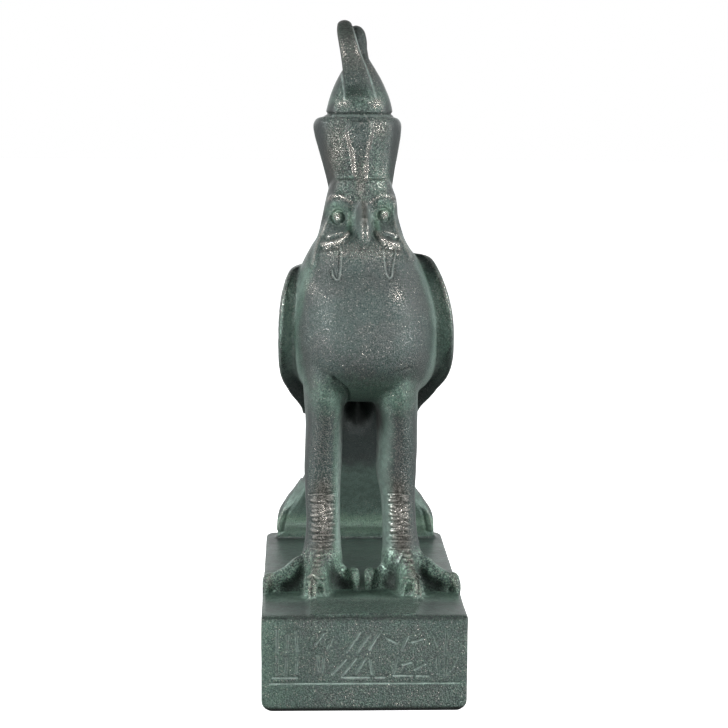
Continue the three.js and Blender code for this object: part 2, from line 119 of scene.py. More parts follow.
# Both legs' y, z, reach to the front, reach to the back and roundness.
SHANK = np.array([
    [-22.0, 94, 24.0, 16.0, 2.1],
    [-23.0, 82, 22.5, 15.0, 2.1],
    [-23.0, 70, 17.5, 13.5, 2.1],
    [-23.0, 59, 13.4, 11.5, 2.1],
    [-23.0, 48, 10.0, 9.5, 2.1],
    [-23.0, 38, 8.0, 8.2, 2.1],
    [-23.0, 27, 7.6, 7.6, 2.1],
    [-23.2, 18, 8.0, 8.0, 2.1],
    [-24.0, 11, 9.0, 9.0, 2.0],
    [-24.5, 5, 9.4, 9.0, 2.0],
    [-25.0, -2, 9.4, 9.0, 2.0],
])
LEFT_LEG, RIGHT_LEG = (
    np.column_stack([x, SHANK[:, :2], half_width, SHANK[:, 2:]]) for x, half_width in (
        ([-15.0, -15.2, -15.3, -15.5, -15.8, -15.8, -15.6, -15.7, -16.2, -16.6, -16.8],
         [10.0, 8.8, 7.8, 7.7, 7.7, 7.2, 7.0, 7.6, 8.6, 8.6, 8.4]),
        ([13.6, 13.8, 14.2, 14.4, 14.1, 14.9, 15.5, 16.2, 16.8, 17.2, 17.4],
         [10.0, 9.0, 8.5, 8.4, 8.3, 7.2, 7.0, 7.5, 8.6, 8.6, 8.4])))

# Where each toe starts, where its knuckle ends and where its claw meets the plinth, as x, y.
LEFT_FOOT = {
    "middle": ((-16.0, -27), (-19.4, -42.6), (-20.3, -47.2)),
    "outer": ((-18.0, -25.5), (-37.0, -33.2), (-39.3, -35.4)),
    "inner": ((-13.5, -25.5), (-3.4, -28), (-2.3, -31.4)),
    "hind": ((-15.5, -19), (-15.0, -8.5), (-14.8, -5)),
}
RIGHT_FOOT = {
    "middle": ((17.0, -27), (20.8, -42), (22.2, -46.6)),
    "outer": ((19.0, -25.5), (36.6, -33.2), (38.9, -35.6)),
    "inner": ((14.5, -25.5), (3.8, -28), (2.8, -31.2)),
    "hind": ((16.0, -19), (15.6, -8.5), (15.4, -5)),
}
TOE_HEIGHTS = {
    "middle": (21, 18.4, 15.2, 12.6, 9.6),
    "outer": (20, 16.6, 12.4, 9.9, 6.8),
    "inner": (18, 14.0, 10.6, 8.9, 7.0),
    "hind": (8, 6.6, 5.4, 4.4, 3.0),
}
TOE_WIDTHS = {
    "middle": (6.5, 5.9, 5.4, 5.2, 4.6),
    "outer": (6.2, 5.0, 4.4, 4.0, 3.0),
    "inner": (6.2, 5.0, 4.4, 4.0, 3.0),
    "hind": (6.0, 5.4, 4.9, 4.5, 2.8),
}
CLAW_HEIGHT = {"middle": 8.6, "outer": 6.0, "inner": 6.6, "hind": 3.4}

CAP = np.array([
    [-2.0, -7.6, 191.0, 12.5, 12.8, 12.8, 2],
    [-2.0, -7.6, 190.6, 15.6, 16.0, 16.0, 2],
    [-2.0, -7.7, 189.3, 17.3, 17.8, 17.8, 2],
    [-2.0, -7.9, 187.0, 18.0, 18.4, 18.4, 2],
    [-1.7, -8.5, 182.0, 17.3, 17.7, 17.7, 2],
    [-1.2, -9.6, 173.0, 15.2, 15.6, 15.6, 2],
    [-0.8, -10.9, 162.5, 13.0, 13.6, 13.6, 2],
    [-0.8, -11.6, 157.0, 12.0, 12.4, 12.4, 2],
])
INNER_CROWN = np.array([
    [-2.6, -1.3, 227.7, 0.6, 0.6, 0.6, 2],
    [-2.5, -1.3, 226.9, 2.2, 2.2, 2.2, 2],
    [-2.1, -1.5, 224.8, 3.4, 3.4, 3.4, 2],
    [-1.5, -1.8, 221.0, 3.6, 3.6, 3.6, 2],
    [-1.1, -2.2, 217.4, 3.3, 3.3, 3.3, 2],
    [-1.1, -2.6, 214.6, 3.9, 3.9, 3.9, 2],
    [-1.2, -3.2, 210.0, 6.7, 6.7, 6.7, 2],
    [-1.2, -4.1, 204.5, 9.8, 9.9, 9.9, 2],
    [-1.2, -5.1, 198.8, 12.1, 12.3, 12.3, 2],
    [-1.2, -6.2, 193.0, 13.6, 13.9, 13.9, 2],
    [-1.3, -7.2, 187.0, 14.0, 14.3, 14.3, 2],
])
BACK_PANEL = np.array([
    [-1.3, 12.6, 220.4, 3.0, 1.2, 1.2, 3],
    [-1.3, 12.4, 219.0, 3.9, 1.6, 1.5, 3],
    [-1.3, 11.4, 213.0, 5.0, 2.0, 1.7, 3],
    [-1.5, 9.8, 204.0, 7.0, 2.4, 1.9, 3],
    [-1.7, 8.3, 195.0, 9.4, 2.8, 2.2, 3],
    [-1.9, 6.6, 185.0, 11.4, 3.0, 2.6, 3],
])
CURL = np.array([
    [-1.2, -12.5, 195.0, 6.0, 2.4, 2.4, 2.4],
    [-2.0, -17.4, 200.5, 5.6, 2.0, 2.0, 2.8],
    [-3.0, -18.4, 206.5, 5.2, 1.9, 1.9, 2.8],
    [-4.4, -17.6, 213.2, 4.6, 1.8, 1.8, 2.8],
    [-5.9, -15.8, 219.6, 4.1, 1.8, 1.8, 2.6],
    [-7.1, -13.2, 225.0, 3.6, 1.8, 1.8, 2.4],
    [-7.4, -10.2, 227.6, 3.0, 1.8, 1.8, 1.8],
    [-7.2, -7.2, 226.9, 2.8, 1.7, 1.7, 2.0],
    [-6.4, -4.8, 224.0, 2.4, 1.4, 1.4, 2.2],
])
# The cobra's hood: x, z, half width and how far it stands off the cap.
COBRA = np.array([
    [-1.6, 189.4, 4.2, 0.7], [-1.6, 186.2, 5.4, 1.2], [-1.6, 182.4, 5.0, 1.7],
    [-1.5, 177.0, 3.7, 1.8], [-1.3, 169.0, 2.7, 1.6], [-1.2, 164.0, 2.2, 1.5],
    [-1.1, 159.0, 1.9, 1.6],
])
BEAK = np.array([
    [-0.8, -22.0, 163.0, 1.2, 2.4, 3.0, 2],
    [-0.7, -24.5, 158.0, 1.9, 3.6, 4.0, 1.8],
    [-0.3, -26.0, 152.5, 2.6, 6.0, 4.0, 1.7],
    [0.1, -27.6, 148.0, 3.2, 8.0, 5.0, 1.8],
    [0.5, -31.0, 144.4, 2.8, 6.8, 4.0, 1.9],
    [0.7, -35.6, 142.4, 1.4, 2.4, 2.4, 2],
])

# Places and lines on the face as x, z: the left side's first and then the right side's.
HEAD_AXIS = -0.8
EYES = ((-10.4, 151.6), (8.8, 152.4))
BROWS = (
    ((-14.0, 158.0), (-12.1, 159.3), (-10.1, 159.7), (-7.4, 158.9), (-4.6, 157.1)),
    ((2.9, 157.6), (5.6, 159.5), (7.9, 160.2), (10.3, 159.6), (13.0, 158.2)),
)
CHEEKS = (
    ((-16.2, 140.9), (-13.0, 141.6), (-10.0, 142.5), (-7.9, 143.9), (-6.2, 145.4)),
    ((5.2, 145.6), (6.6, 144.0), (8.7, 142.2), (10.8, 141.5), (14.0, 140.9)),
)
LOWER_LIDS = (
    ((-14.6, 143.8), (-11.4, 144.8), (-8.9, 145.5)),
    ((13.4, 144.4), (11.0, 145.4), (8.6, 146.0)),
)
STRIPES = (
    ((-12.6, 131.6), (-12.1, 129.6), (-10.9, 128.1), (-9.7, 129.2), (-9.1, 134.0), (-9.0, 139.9)),
    ((7.5, 139.6), (7.9, 134.8), (8.4, 130.9), (9.6, 128.9), (10.7, 129.6), (11.3, 133.7),
     (12.8, 139.6)),
)
STRIPE_BOX = ((-16, -60, 124), (15, -20, 142))  # the box round both stripes
COLLARS = (
    ((-13.6, 151.6), (-15.2, 147.6), (-16.6, 144.6), (-18.1, 141.2), (-19.1, 138.0),
     (-20.2, 133.2)),
    ((12.6, 156.4), (12.7, 149.0), (14.5, 144.0), (16.8, 140.0), (18.6, 136.0)),
)
# Fine rings round both shins, and the beads beside them.
RING_HEIGHTS = (40.1, 35.7, 28.0, 23.1, 20.7, 17.6)
BEAD_HEIGHTS = (38.4, 37.0, 34.2, 32.6, 30.9, 29.2, 26.6, 24.6, 21.9)
# Creases over the thighs as x, z.
THIGH_CREASES = (
    ((-12.8, 90.6), (-11.5, 89.1), (-9.2, 87.0), (-7.5, 85.2), (-6.2, 83.0), (-5.5, 80.5),
     (-5.3, 77.0)),
    ((10.0, 92.0), (11.5, 92.5), (13.9, 93.0), (15.9, 93.5), (18.8, 93.9)),
)
# The pits between the toes as x, z lines from the plinth upwards.
TOE_PITS = (
    ((-29.5, 1.8), (-26.0, 4.5), (-22.6, 12.5)), ((-7.0, 1.5), (-10.0, 3.5), (-12.4, 11.0)),
    ((11.5, 2.0), (12.3, 6.0), (12.9, 12.5)), ((30.5, 2.0), (27.0, 4.0), (22.0, 10.5)),
)
# Strokes on the plinth's front: x, height over the underside, half length and lean in degrees.
STROKES = (
    (-34.0, 28.5, 4.5, 0), (-30.0, 28.0, 3.4, 4), (-26.5, 28.5, 4.0, -5), (-17.5, 29.5, 2.6, 35),
    (-13.5, 27.5, 2.0, 20), (-4.5, 28.0, 4.6, 33), (-0.5, 27.6, 4.4, 33), (3.6, 28.4, 3.8, 30),
    (10.5, 28.5, 2.2, -60), (15.5, 27.5, 3.0, 22), (20.5, 28.6, 2.2, 70), (27.5, 28.5, 2.0, -20),
    (31.5, 27.2, 4.2, 2),
    (-34.0, 18.8, 3.6, 0), (-30.5, 18.4, 3.6, 2), (-26.5, 18.6, 2.6, 5), (-18.0, 19.5, 3.2, -6),
    (-16.2, 19.0, 2.6, 4), (-10.0, 18.2, 4.0, 42), (-6.0, 18.2, 4.2, 38), (-1.5, 18.6, 3.4, 30),
    (2.5, 18.0, 2.8, -8), (12.0, 18.8, 3.4, 12), (16.5, 19.4, 1.8, 75), (21.5, 18.0, 2.2, 60),
    (28.5, 18.4, 3.2, -4), (31.5, 18.0, 3.4, 3), (34.5, 18.5, 2.2, 25),
    (-31.0, 13.9, 4.6, 90), (-3.5, 13.9, 5.2, 90), (6.0, 13.9, 1.6, 90), (15.0, 14.6, 3.6, 90),
    (22.5, 14.4, 2.2, 90),
)
RULE = 11.5  # height of the long groove over the underside
# The edge down the curl's front and the short one beside its foot, as x, z.
STRAP_LINES = (
    ((-3.9, 226.0), (-2.6, 221.3), (-0.6, 215.4), (1.7, 209.6), (3.7, 203.6), (5.2, 198.5)),
    ((-8.6, 208.0), (-7.9, 203.0), (-7.5, 197.0)),
)
# The ridge down the tail's left side as x, z. The right side mirrors it.
TAIL_RIDGE = (
    (-24.5, 29.0), (-27.6, 23.1), (-30.7, 17.8), (-33.0, 12.8), (-34.0, 9.0), (-34.6, 5.0))
# Boxes whose skin is split finer before carving: the face, the feet and shins, the hood and the
# crown's front. The plinth's front is a further one.
DETAILED = (
    ((-24, -60, 124), (24, -12, 166)), ((-41, -52, 0.3), (41, -22, 42)),
    ((-10, -40, 160), (8, -14, 192)), ((-14, -30, 192), (10, -5, 232)))

# The photograph's camera: focal length in pixels, place in millimetres from the plinth's underside,
# and yaw, pitch and roll in degrees.
FOCAL_PIXELS = 1850.0
CAMERA_PLACE = (-27.2, -764.3, 237.9)
CAMERA_TURN = (2.16, 8.27, 0.36)
LIGHT_TARGET = (0.0, 0.0, 0.13)
# Each light's name, place and size in metres, and power in watts.
LIGHTS = (
    ("left_softbox", (-1.25, -0.50, 0.55), 0.50, 25.0),
    ("right_softbox", (1.25, -0.50, 0.52), 0.50, 25.0),
    ("front", (-0.1, -1.6, 0.35), 0.8, 4.0),
)
FLOOR_HALF = 6.0  # metres from the floor's middle to its edge


# Settings that a user may change

def length(name, description, millimetres, least=0.0):
    return bpy.props.FloatProperty(
        name=name, description=description, default=millimetres * MM, min=least * MM,
        subtype="DISTANCE", unit="LENGTH")


class FigureSizes(bpy.types.PropertyGroup):
    """Sizes of the casting that can be set by themselves."""

    plinth_height: length("Plinth height", "From the underside to the plinth's top", 38.3)
    plinth_top_edge: length("Plinth edge", "Radius of the plinth's top and front edges", 1.6)
    plinth_foot_edge: length(
        "Plinth foot edge", "Radius of the long edges beside the underside", 4.0)
    plinth_back_corner: length("Plinth back corner", "Radius of the upright back corners", 5.0)
    voxel: length("Skin grain", "Size of the cells that join the forms into one skin", 0.45, 0.2)
    triangles: bpy.props.IntProperty(
        name="Triangles", description="How many triangles the finished casting has at most",
        default=197000, min=1000)


def colour(name, description, *default):
    return bpy.props.FloatVectorProperty(
        name=name, description=description, subtype="COLOR", size=3, default=default, min=0.0,
        max=1.0)


class FinishColours(bpy.types.PropertyGroup):
    """Colours of the patina and of the metal that shows through it. Some also paint shade, light
    and highlights.
    """

    slate: colour("Slate", "Main colour of the patina", 0.064, 0.097, 0.089)
    umber: colour("Umber", "Warm grey where the patina is thin", 0.079, 0.090, 0.087)
    plum: colour("Plum", "Purple grey of the burnished places", 0.076, 0.084, 0.085)
    verdigris: colour("Verdigris", "Green of the hollows", 0.115, 0.195, 0.155)
    pale_verdigris: colour("Pale verdigris", "Light green crust", 0.27, 0.42, 0.31)
    dark_patina_and_shade: colour("Dark patina and shade", "Dark green of the deepest hollows", 0.006, 0.011, 0.009)
    # Also the colour of painted shade: the deepest hollows and the places marked dark.
    brown: colour("Brown", "Warm brown of the thin patina", 0.088, 0.078, 0.064)
    # Also paints light: a pale sheen at grazing angles and shaded places painted as if lit.
    crust_and_painted_light: colour("Crust", "Pale grey-green of thin raised lines", 0.31, 0.39, 0.36)
    # Also paints highlights: glints, bulb's shoulders, curl's bands and cap front specks.
    bare_and_highlight: colour("Bare metal", "Metal rubbed bright on the high spots", 0.63, 0.60, 0.55)


# Grids of points

def smooth_rows(rows, t):
    """Cubic Hermite curve through the rows. Whole numbers of t fall on the rows, and the slope at
    each row is half of the step between its two neighbours."""
    rows = np.asarray(rows, float)
    last = len(rows) - 1
    i = np.clip(np.floor(t).astype(int), 0, last - 1)
    u = (t - i)[..., None]
    here, after = rows[i], rows[i + 1]
    slope_in = (after - rows[np.maximum(i - 1, 0)]) / 2
    slope_out = (rows[np.minimum(i + 2, last)] - here) / 2
    turn = 2 * (here - after) + slope_in + slope_out
    return here + u * (slope_in + u * (3 * (after - here) - 2 * slope_in - slope_out + u * turn))


def unit(vectors):
    return vectors / np.maximum(np.linalg.norm(vectors, axis=-1, keepdims=True), 1e-12)


def section(rows, t, angle, lift=0.0, side=SIDEWAYS):
    """Points of a form: the station at t, then out along `side` by half width times the bulge of
    the angle's cosine and along side x travel by the reach times the bulge of its sine, where a
    bulge is the value to the power 2 / roundness, and outwards by `lift`."""
    t, angle, lift = np.broadcast_arrays(t, np.radians(angle), lift)
    end = len(rows) - 1.0
    station = smooth_rows(rows, t)
    half, front, back, roundness = np.moveaxis(station[..., 3:7], -1, 0)
    step = 0.02
    ahead = smooth_rows(rows, np.clip(t + step, 0, end))[..., :3]
    travel = unit(ahead - smooth_rows(rows, np.clip(t - step, 0, end))[..., :3])
    side = unit(np.asarray(side, float))
    rear = unit(np.cross(side, travel))
    c, s = np.cos(angle), np.sin(angle)
    reach = np.where(s < 0, front, back)
    out = unit(np.stack([c / half, s / reach], axis=-1)) * lift[..., None]
    across = np.sign(c) * np.abs(c) ** (2 / roundness) * half + out[..., 0]
    deep = np.sign(s) * np.abs(s) ** (2 / roundness) * reach + out[..., 1]
    return station[..., :3] + side * across[..., None] + rear * deep[..., None]


def loft(rows, steps, around, side=SIDEWAYS, lift=None):
    """A form's whole skin as a grid: `steps` along its stations by `around` round its section.
    `lift` gives the height of its relief from the station and the angle."""
    t = np.linspace(0, len(rows) - 1, steps)[:, None]
    angle = np.arange(around)[None] * 360.0 / around
    return section(rows, t, angle, lift(t, angle) if lift else 0.0, side)


def rise(low, high, value):
    """0 up to low and 1 from high on, blended between them. It falls where low is the greater."""
    share = np.clip((value - low) / (high - low), 0, 1)
    return share * share * (3 - 2 * share)


def fall(low, high, value):
    return 1 - rise(low, high, value)


def span(value, start, full, fade, end):
    """1 from full to fade, down to 0 at start and at end smoothly."""
    return rise(start, full, value) * fall(fade, end, value)


def ridge(distance, half_width):
    """A rounded bump of height 1: half a cosine wave over the distance."""
    return 0.5 + 0.5 * np.cos(np.pi * np.clip(distance / half_width, -1, 1))


def spot(dx, dz, radius):
    """The same bump round a middle."""
    return ridge(np.hypot(dx, dz), radius)


def bead(points, radius, steps=40, around=12):
    """A round bar along a smooth line through the points. It tapers to both ends by the square root
    of 1 less the fourth power of the distance from its middle."""
    t = np.linspace(0, len(points) - 1, steps)
    line = smooth_rows(points, t)
    along = unit(np.gradient(line, axis=0))
    up = unit(np.cross(along, np.cross([0.0, -1.0, 0.0], along)))
    out = np.cross(along, up)
    share = np.linspace(-1, 1, steps)
    thick = radius * np.maximum(1 - share ** 4, 0.02) ** 0.5
    angle = np.arange(around) * 2 * np.pi / around
    ring = np.cos(angle)[None, :, None] * up[:, None] + np.sin(angle)[None, :, None] * out[:, None]
    return line[:, None] + ring * thick[:, None, None]


def ball(centre, radii, steps=24, around=32):
    """An ellipsoid: rings of latitude from pole to pole."""
    latitude = np.linspace(0.02, np.pi - 0.02, steps)[:, None]
    longitude = np.arange(around)[None] * 2 * np.pi / around
    sphere = np.stack(np.broadcast_arrays(
        np.sin(latitude) * np.cos(longitude), np.sin(latitude) * np.sin(longitude),
        np.cos(latitude)), axis=-1)
    return np.asarray(centre) + sphere * np.asarray(radii)


def front_of(rows, x, z, lift=0.0):
    """The point of a form's front at x and z, found by halving the run of its stations."""
    x, z = np.broadcast_arrays(np.asarray(x, float), np.asarray(z, float))
    low, high = np.zeros(x.shape), np.full(x.shape, len(rows) - 1.0)
    for _ in range(24):
        t = (low + high) / 2
        here = smooth_rows(rows, t)
        across = np.clip((x - here[..., 0]) / here[..., 3], -0.98, 0.98)
        cosine = np.sign(across) * np.abs(across) ** (here[..., 6] / 2)
        found = section(rows, t, -np.degrees(np.arccos(cosine)), lift)
        above = found[..., 2] > z
        low, high = np.where(above, t, low), np.where(above, high, t)
    return found


def on_face(points, lift=0.0):
    points = np.asarray(points, float)
    return front_of(TRUNK, points[:, 0], points[:, 1], lift)


# The forms

def wing(mirror, shoulder_rise, shoulder_swell, thickness, slimming):
    """A folded wing over the flank: a plate at a height over the trunk's own surface. The height
    closes down at the shoulder and the tip by quarter circles, flares a little at the leading edge
    and falls off towards the back. Behind the leading edge the plate is `thickness` thick over an
    open channel, and further back its hidden side lies in the trunk. The shoulder is moved along
    the trunk by `shoulder_rise` stations and out by `shoulder_swell`, and the middle is drawn in
    by `slimming`."""
    steps, across, under = 300, 190, 60
    along = np.linspace(0, 1, steps)[:, None]
    share = np.linspace(0, 1, across)[None] ** 1.35
    station, lead, rear, stand = np.moveaxis(smooth_rows(WING, along * (len(WING) - 1)), -1, 0)
    stand = stand + shoulder_swell * (1 - along) ** 4
    stand = stand - slimming * rise(0.2, 0.5, along) * fall(0.54, 0.62, along)
    t = station - shoulder_rise * (1 - along) ** 4
    round_back = np.sqrt(1 - (1 - np.clip((1 - share) / 0.03, 0, 1)) ** 2)
    round_top = np.sqrt(1 - (1 - np.clip(along / 0.05, 0, 1)) ** 2)
    round_end = np.sqrt(1 - (1 - np.clip((1 - along) / 0.04, 0, 1)) ** 2)
    closing = round_top * round_end
    spread = rise(0.1, 0.3, along) * (1.3 - 0.9 * rise(0.45, 0.7, along))
    flare = (1 - np.clip(share / 0.2, 0, 1)) ** 2 * spread
    lip = 1.0 * (1 - np.clip(share / 0.02, 0, 1)) ** 2
    full = stand * (1 - 0.45 * share) + flare - lip - feathers(along, share)
    lift = WING_SINK + (full - WING_SINK) * closing * round_back
    angle = lead + (rear - lead) * share
    outer = section(TRUNK, t, LEFT - angle if mirror else angle, lift)
    back_share = np.linspace(1, 0, under)[None]
    channel = smooth_rows(CHANNEL, along * 10)[..., 0] / np.maximum(rear - lead, 12)
    inside = WING_SINK + (stand + spread - thickness - WING_SINK) * closing
    opening = rise(channel + 0.020, channel - 0.012, back_share)
    low = WING_SINK + (np.maximum(inside, WING_SINK) - WING_SINK) * opening
    angle = lead + (rear - lead) * back_share
    inner = section(TRUNK, t, LEFT - angle if mirror else angle, low)
    return np.concatenate([outer, inner[:, 1:]], axis=1)


def feathers(along, share):
    """Depth of the wing's carving: scales in staggered rows on the shoulder, each fading from a
    step at its rounded tip, and below them long feathers with narrow grooves between them."""
    rows, columns = 34.0, 9.0
    row = along * rows
    line = np.floor(row)
    column = share * columns + 0.5 * (line % 2)
    sideways = np.abs(column - np.floor(column) - 0.5) * 2
    tip = row - line - 0.55 * (1 - sideways ** 2)
    scale = 0.30 * np.where(tip > 0, 1 - tip, -0.25 * tip)
    quill = (share + 0.10 * along) * 11.0
    valley = np.abs(quill - np.floor(quill) - 0.5) * 2
    long = 0.55 * valley ** 6
    down = rise(0.34, 0.40, along)
    inside = rise(0.06, 0.12, share) * fall(0.9, 0.97, share)
    return ((1 - down) * scale + down * long) * inside * rise(0.04, 0.10, along)


def toe(name, start, end):
    """A toe as a form along its own heading, like a tent with a rounded ridge. Its ridge rises and
    its flanks swell at each joint by a cosine."""
    start, heading = np.asarray(start, float), np.subtract(end, start)
    share = np.linspace(0, 1, 33)
    height = smooth_rows(np.array(TOE_HEIGHTS[name])[:, None], share * 4)[:, 0]
    width = smooth_rows(np.array(TOE_WIDTHS[name])[:, None], share * 4)[:, 0]
    joint = 0.5 - 0.5 * np.cos(2 * np.pi * (share * 2.4 + 0.25))
    width = width * (0.9 + 0.1 * joint)
    height = height + 0.9 * (joint - 0.4) * rise(0.2, 0.5, share)
    place = start + share[:, None] * heading
    roundness = 1.75 if name == "middle" else 1.4
    low, below = 0.8, 3.0
    rows = np.column_stack([
        place, np.full(33, low), width, np.full(33, below), height - low, np.full(33, roundness)])
    return loft(rows, 60, 48, side=(heading[1], -heading[0], 0.0))


def claw(name, start, tip):
    """A claw hooks forwards and down from the end of its toe to the plinth."""
    height = CLAW_HEIGHT[name]
    start, run = np.asarray(start, float), np.subtract(tip, start)
    share = np.array([-0.5, 0.15, 0.6, 0.9, 1.0])
    shape = np.array([
        [height - 1.2, 2.3, 1.9, 1.9, 2],
        [height, 2.5, 2.6, 2.1, 2.2],
        [height * 0.70, 2.3, 2.5, 2.0, 2.2],
        [height * 0.28, 1.9, 2.0, 1.6, 2.2],
        [-0.8, 1.4, 1.2, 1.0, 2],
    ])
    rows = np.column_stack([start + share[:, None] * run, shape])
    return loft(rows, 40, 32, side=(run[1], -run[0], 0.0))


def foot(places):
    return [form for name, (start, end, tip) in places.items()
            for form in (toe(name, start, end), claw(name, end, tip))]


def cobra():
    """The spread hood on the cap's front, hollow between two raised edges, and its small head."""
    front = front_of(CAP, COBRA[:, 0], COBRA[:, 1])
    rows = np.column_stack([
        COBRA[:, 0], front[:, 1] + 1, COBRA[:, 1], COBRA[:, 2], COBRA[:, 3] + 1,
        np.full(len(COBRA), 2.0), np.full(len(COBRA), 3.2)])

    def lift(t, angle):
        across = np.cos(np.radians(angle))
        faded = rise(0.6, 1.6, t) * (1 - 0.6 * rise(4.0, 6.0, t)) * (angle > 180)
        return faded * (0.35 * ridge(np.abs(across) - 0.72, 0.3) - 0.75 * ridge(across, 0.7))

    head = front_of(CAP, -1.0, 188.4)
    return [loft(rows, 120, 90, lift=lift), ball(head, (1.4, 1.5, 1.1))]


def curl():
    """The strap that rises from the bulb's front and curls back: its outer face is hollow between
    two raised edges."""
    def lift(t, angle):
        across = np.cos(np.radians(angle))
        faded = rise(0.8, 1.8, t) * fall(5.4, 6.6, t) * (angle > 180)
        return faded * (0.4 * ridge(np.abs(across) - 0.86, 0.16) - 0.5 * ridge(across, 0.8))

    return loft(CURL, 160, 72, lift=lift)


def face():
    """Eyeballs, brows and beak. The lines between them are carved later."""
    forms = [loft(BEAK, 90, 48)]
    for x, z in EYES:
        forms.append(ball(front_of(TRUNK, x, z, -0.6), (1.6, 1.7, 1.6)))
    for brow in BROWS:
        forms.append(bead(on_face(brow, -0.7), 1.6))
    return forms


def plinth_block(low, high, sizes):
    """The block as rings across its length: a front outline with rounder corners at its foot,
    drawn in over the front edge and the upright back corners by a quarter circle."""
    top, bottom = 0.0, -sizes.plinth_height / MM
    half, middle = (high[0] - low[0]) / 2, (bottom + top) / 2
    top_edge, foot_edge = sizes.plinth_top_edge / MM, sizes.plinth_foot_edge / MM
    corner = sizes.plinth_back_corner / MM

    def drawn_in(distance, radius):
        short = np.clip(radius - distance, 0, radius)
        return radius - np.sqrt(radius ** 2 - short ** 2)

    front_gap = top_edge * np.linspace(0, 1, 9) ** 2
    back_gap = corner * np.linspace(1, 0, 17) ** 2
    y = np.concatenate([low[1] + front_gap, high[1] - back_gap])
    across = np.concatenate([drawn_in(front_gap, top_edge), drawn_in(back_gap, corner)])
    up = np.concatenate([drawn_in(front_gap, top_edge), drawn_in(back_gap, top_edge)])
    rings = []
    for k, (right, above) in enumerate([(1, 1), (-1, 1), (-1, -1), (1, -1)]):
        radius = top_edge if above > 0 else foot_edge
        angle = (k + np.linspace(0, 1, 12)) * np.pi / 2
        x = right * (half - across - radius)[:, None] + radius * np.cos(angle)
        z = middle + above * ((top - bottom) / 2 - up - radius)[:, None] + radius * np.sin(angle)
        rings.append(np.stack(np.broadcast_arrays(x, y[:, None], z), axis=-1))
    return np.concatenate(rings, axis=1)


def toe_pad(low):
    """The low rough pad from the middle claws to the plinth's front edge, cut off at a slant."""
    left, right, front, back, top = -21.6, 25.4, low[1] + 1.6, -44.7, 0.8
    outline = np.array([[left, front], [right - 5, front], [right, back], [left, back]])
    rows = []
    for z, inset in ((-2.0, 0.0), (0.35, 0.0), (0.7, 0.25), (top, 0.6)):
        middle = outline.mean(0)
        corners = outline + (middle - outline) / np.abs(middle - outline) * inset
        sides = [corners[k] + (corners[(k + 1) % 4] - corners[k]) * u
                 for k in range(4) for u in (0, 0.5)]
        rows.append(np.column_stack([np.array(sides), np.full(8, z)]))
    return np.array(rows)


def all_forms(low, high, sizes):
    return [
        loft(TRUNK, 520, 300),
        wing(False, shoulder_rise=0.68, shoulder_swell=1.5, thickness=2.4, slimming=0.7),
        wing(True, shoulder_rise=0.05, shoulder_swell=-0.8, thickness=1.9, slimming=0.0),
        loft(LEFT_LEG, 200, 90), loft(RIGHT_LEG, 200, 90), *foot(LEFT_FOOT), *foot(RIGHT_FOOT),
        *face(),
        loft(CAP, 120, 160), loft(INNER_CROWN, 140, 120), loft(BACK_PANEL, 90, 60), curl(),
        *cobra(), plinth_block(low, high, sizes), toe_pad(low),
    ]


# Joining the forms into one skin

def read(items, name, kind, width=1):
    """One value, or a row of `width` values, for each of a mesh's items."""
    values = np.empty(len(items) * width, kind)
    items.foreach_get(name, values)
    return values if width == 1 else values.reshape(-1, width)


def mesh_from(name, points, loops, counts):
    """A mesh from a point array, the corners of all its faces in a row, and each face's count."""
    mesh = bpy.data.meshes.new(name)
    mesh.vertices.add(len(points))
    mesh.vertices.foreach_set("co", np.ascontiguousarray(points, np.float32).ravel())
    mesh.loops.add(len(loops))
    mesh.loops.foreach_set("vertex_index", np.ascontiguousarray(loops, np.int32))
    mesh.polygons.add(len(counts))
    starts = np.concatenate([[0], np.cumsum(counts)[:-1]])
    mesh.polygons.foreach_set("loop_start", starts.astype(np.int32))
    mesh.update(calc_edges=True)
    return mesh


def closed_grid(grid):
    """Corners of a grid's faces, closed round each row and by a fan over its first and last row.
    The faces point outwards: they are turned over where the enclosed volume comes out negative."""
    rows, around = grid.shape[:2]
    i = np.arange(rows - 1)[:, None] * around
    j = np.arange(around)[None]
    after = (j + 1) % around
    quads = np.stack(np.broadcast_arrays(
        i + j, i + after, i + around + after, i + around + j), axis=-1).reshape(-1, 4)
    points = np.concatenate([grid.reshape(-1, 3), grid[[0, -1]].mean(axis=1)])
    first, last, hub = j[0], (rows - 1) * around, rows * around
    start_cap = np.stack([np.full(around, hub), after[0], first], axis=-1)
    end_cap = np.stack([np.full(around, hub + 1), last + first, last + after[0]], axis=-1)
    triangles = np.concatenate([quads[:, [0, 1, 2]], quads[:, [0, 2, 3]], start_cap, end_cap])
    a, b, c = (points[triangles[:, k]] for k in range(3))
    if np.einsum("ij,ij->", a, np.cross(b, c)) < 0:
        triangles = triangles[:, ::-1]
    return points, triangles


def joined_skin(forms, voxel):
    """One closed skin round all the forms, made by a voxel remesh."""
    points, faces, start = [], [], 0
    for form in forms:
        form_points, form_faces = closed_grid(form)
        points.append(form_points)
        faces.append(form_faces + start)
        start += len(form_points)
    faces = np.concatenate(faces)
    mesh = mesh_from("forms", np.concatenate(points) * MM, faces.ravel(), np.full(len(faces), 3))
    piece = bpy.data.objects.new("forms", mesh)
    bpy.context.scene.collection.objects.link(piece)
    remesh = piece.modifiers.new("skin", "REMESH")
    remesh.mode = "VOXEL"
    remesh.voxel_size = voxel
    skin = finished_mesh(piece, "skin")
    bpy.data.objects.remove(piece)
    return skin


def finished_mesh(piece, name):
    """The piece's mesh with its modifiers applied."""
    graph = bpy.context.evaluated_depsgraph_get()
    mesh = bpy.data.meshes.new_from_object(piece.evaluated_get(graph))
    mesh.name = name
    return mesh


def points_of(mesh):
    return read(mesh.vertices, "co", np.float32, 3).astype(float) / MM


def normals_of(mesh):
    return read(mesh.vertex_normals, "vector", np.float32, 3).astype(float)


def set_points(mesh, points):
    mesh.vertices.foreach_set("co", np.ascontiguousarray(points * MM, np.float32).ravel())
    mesh.update()


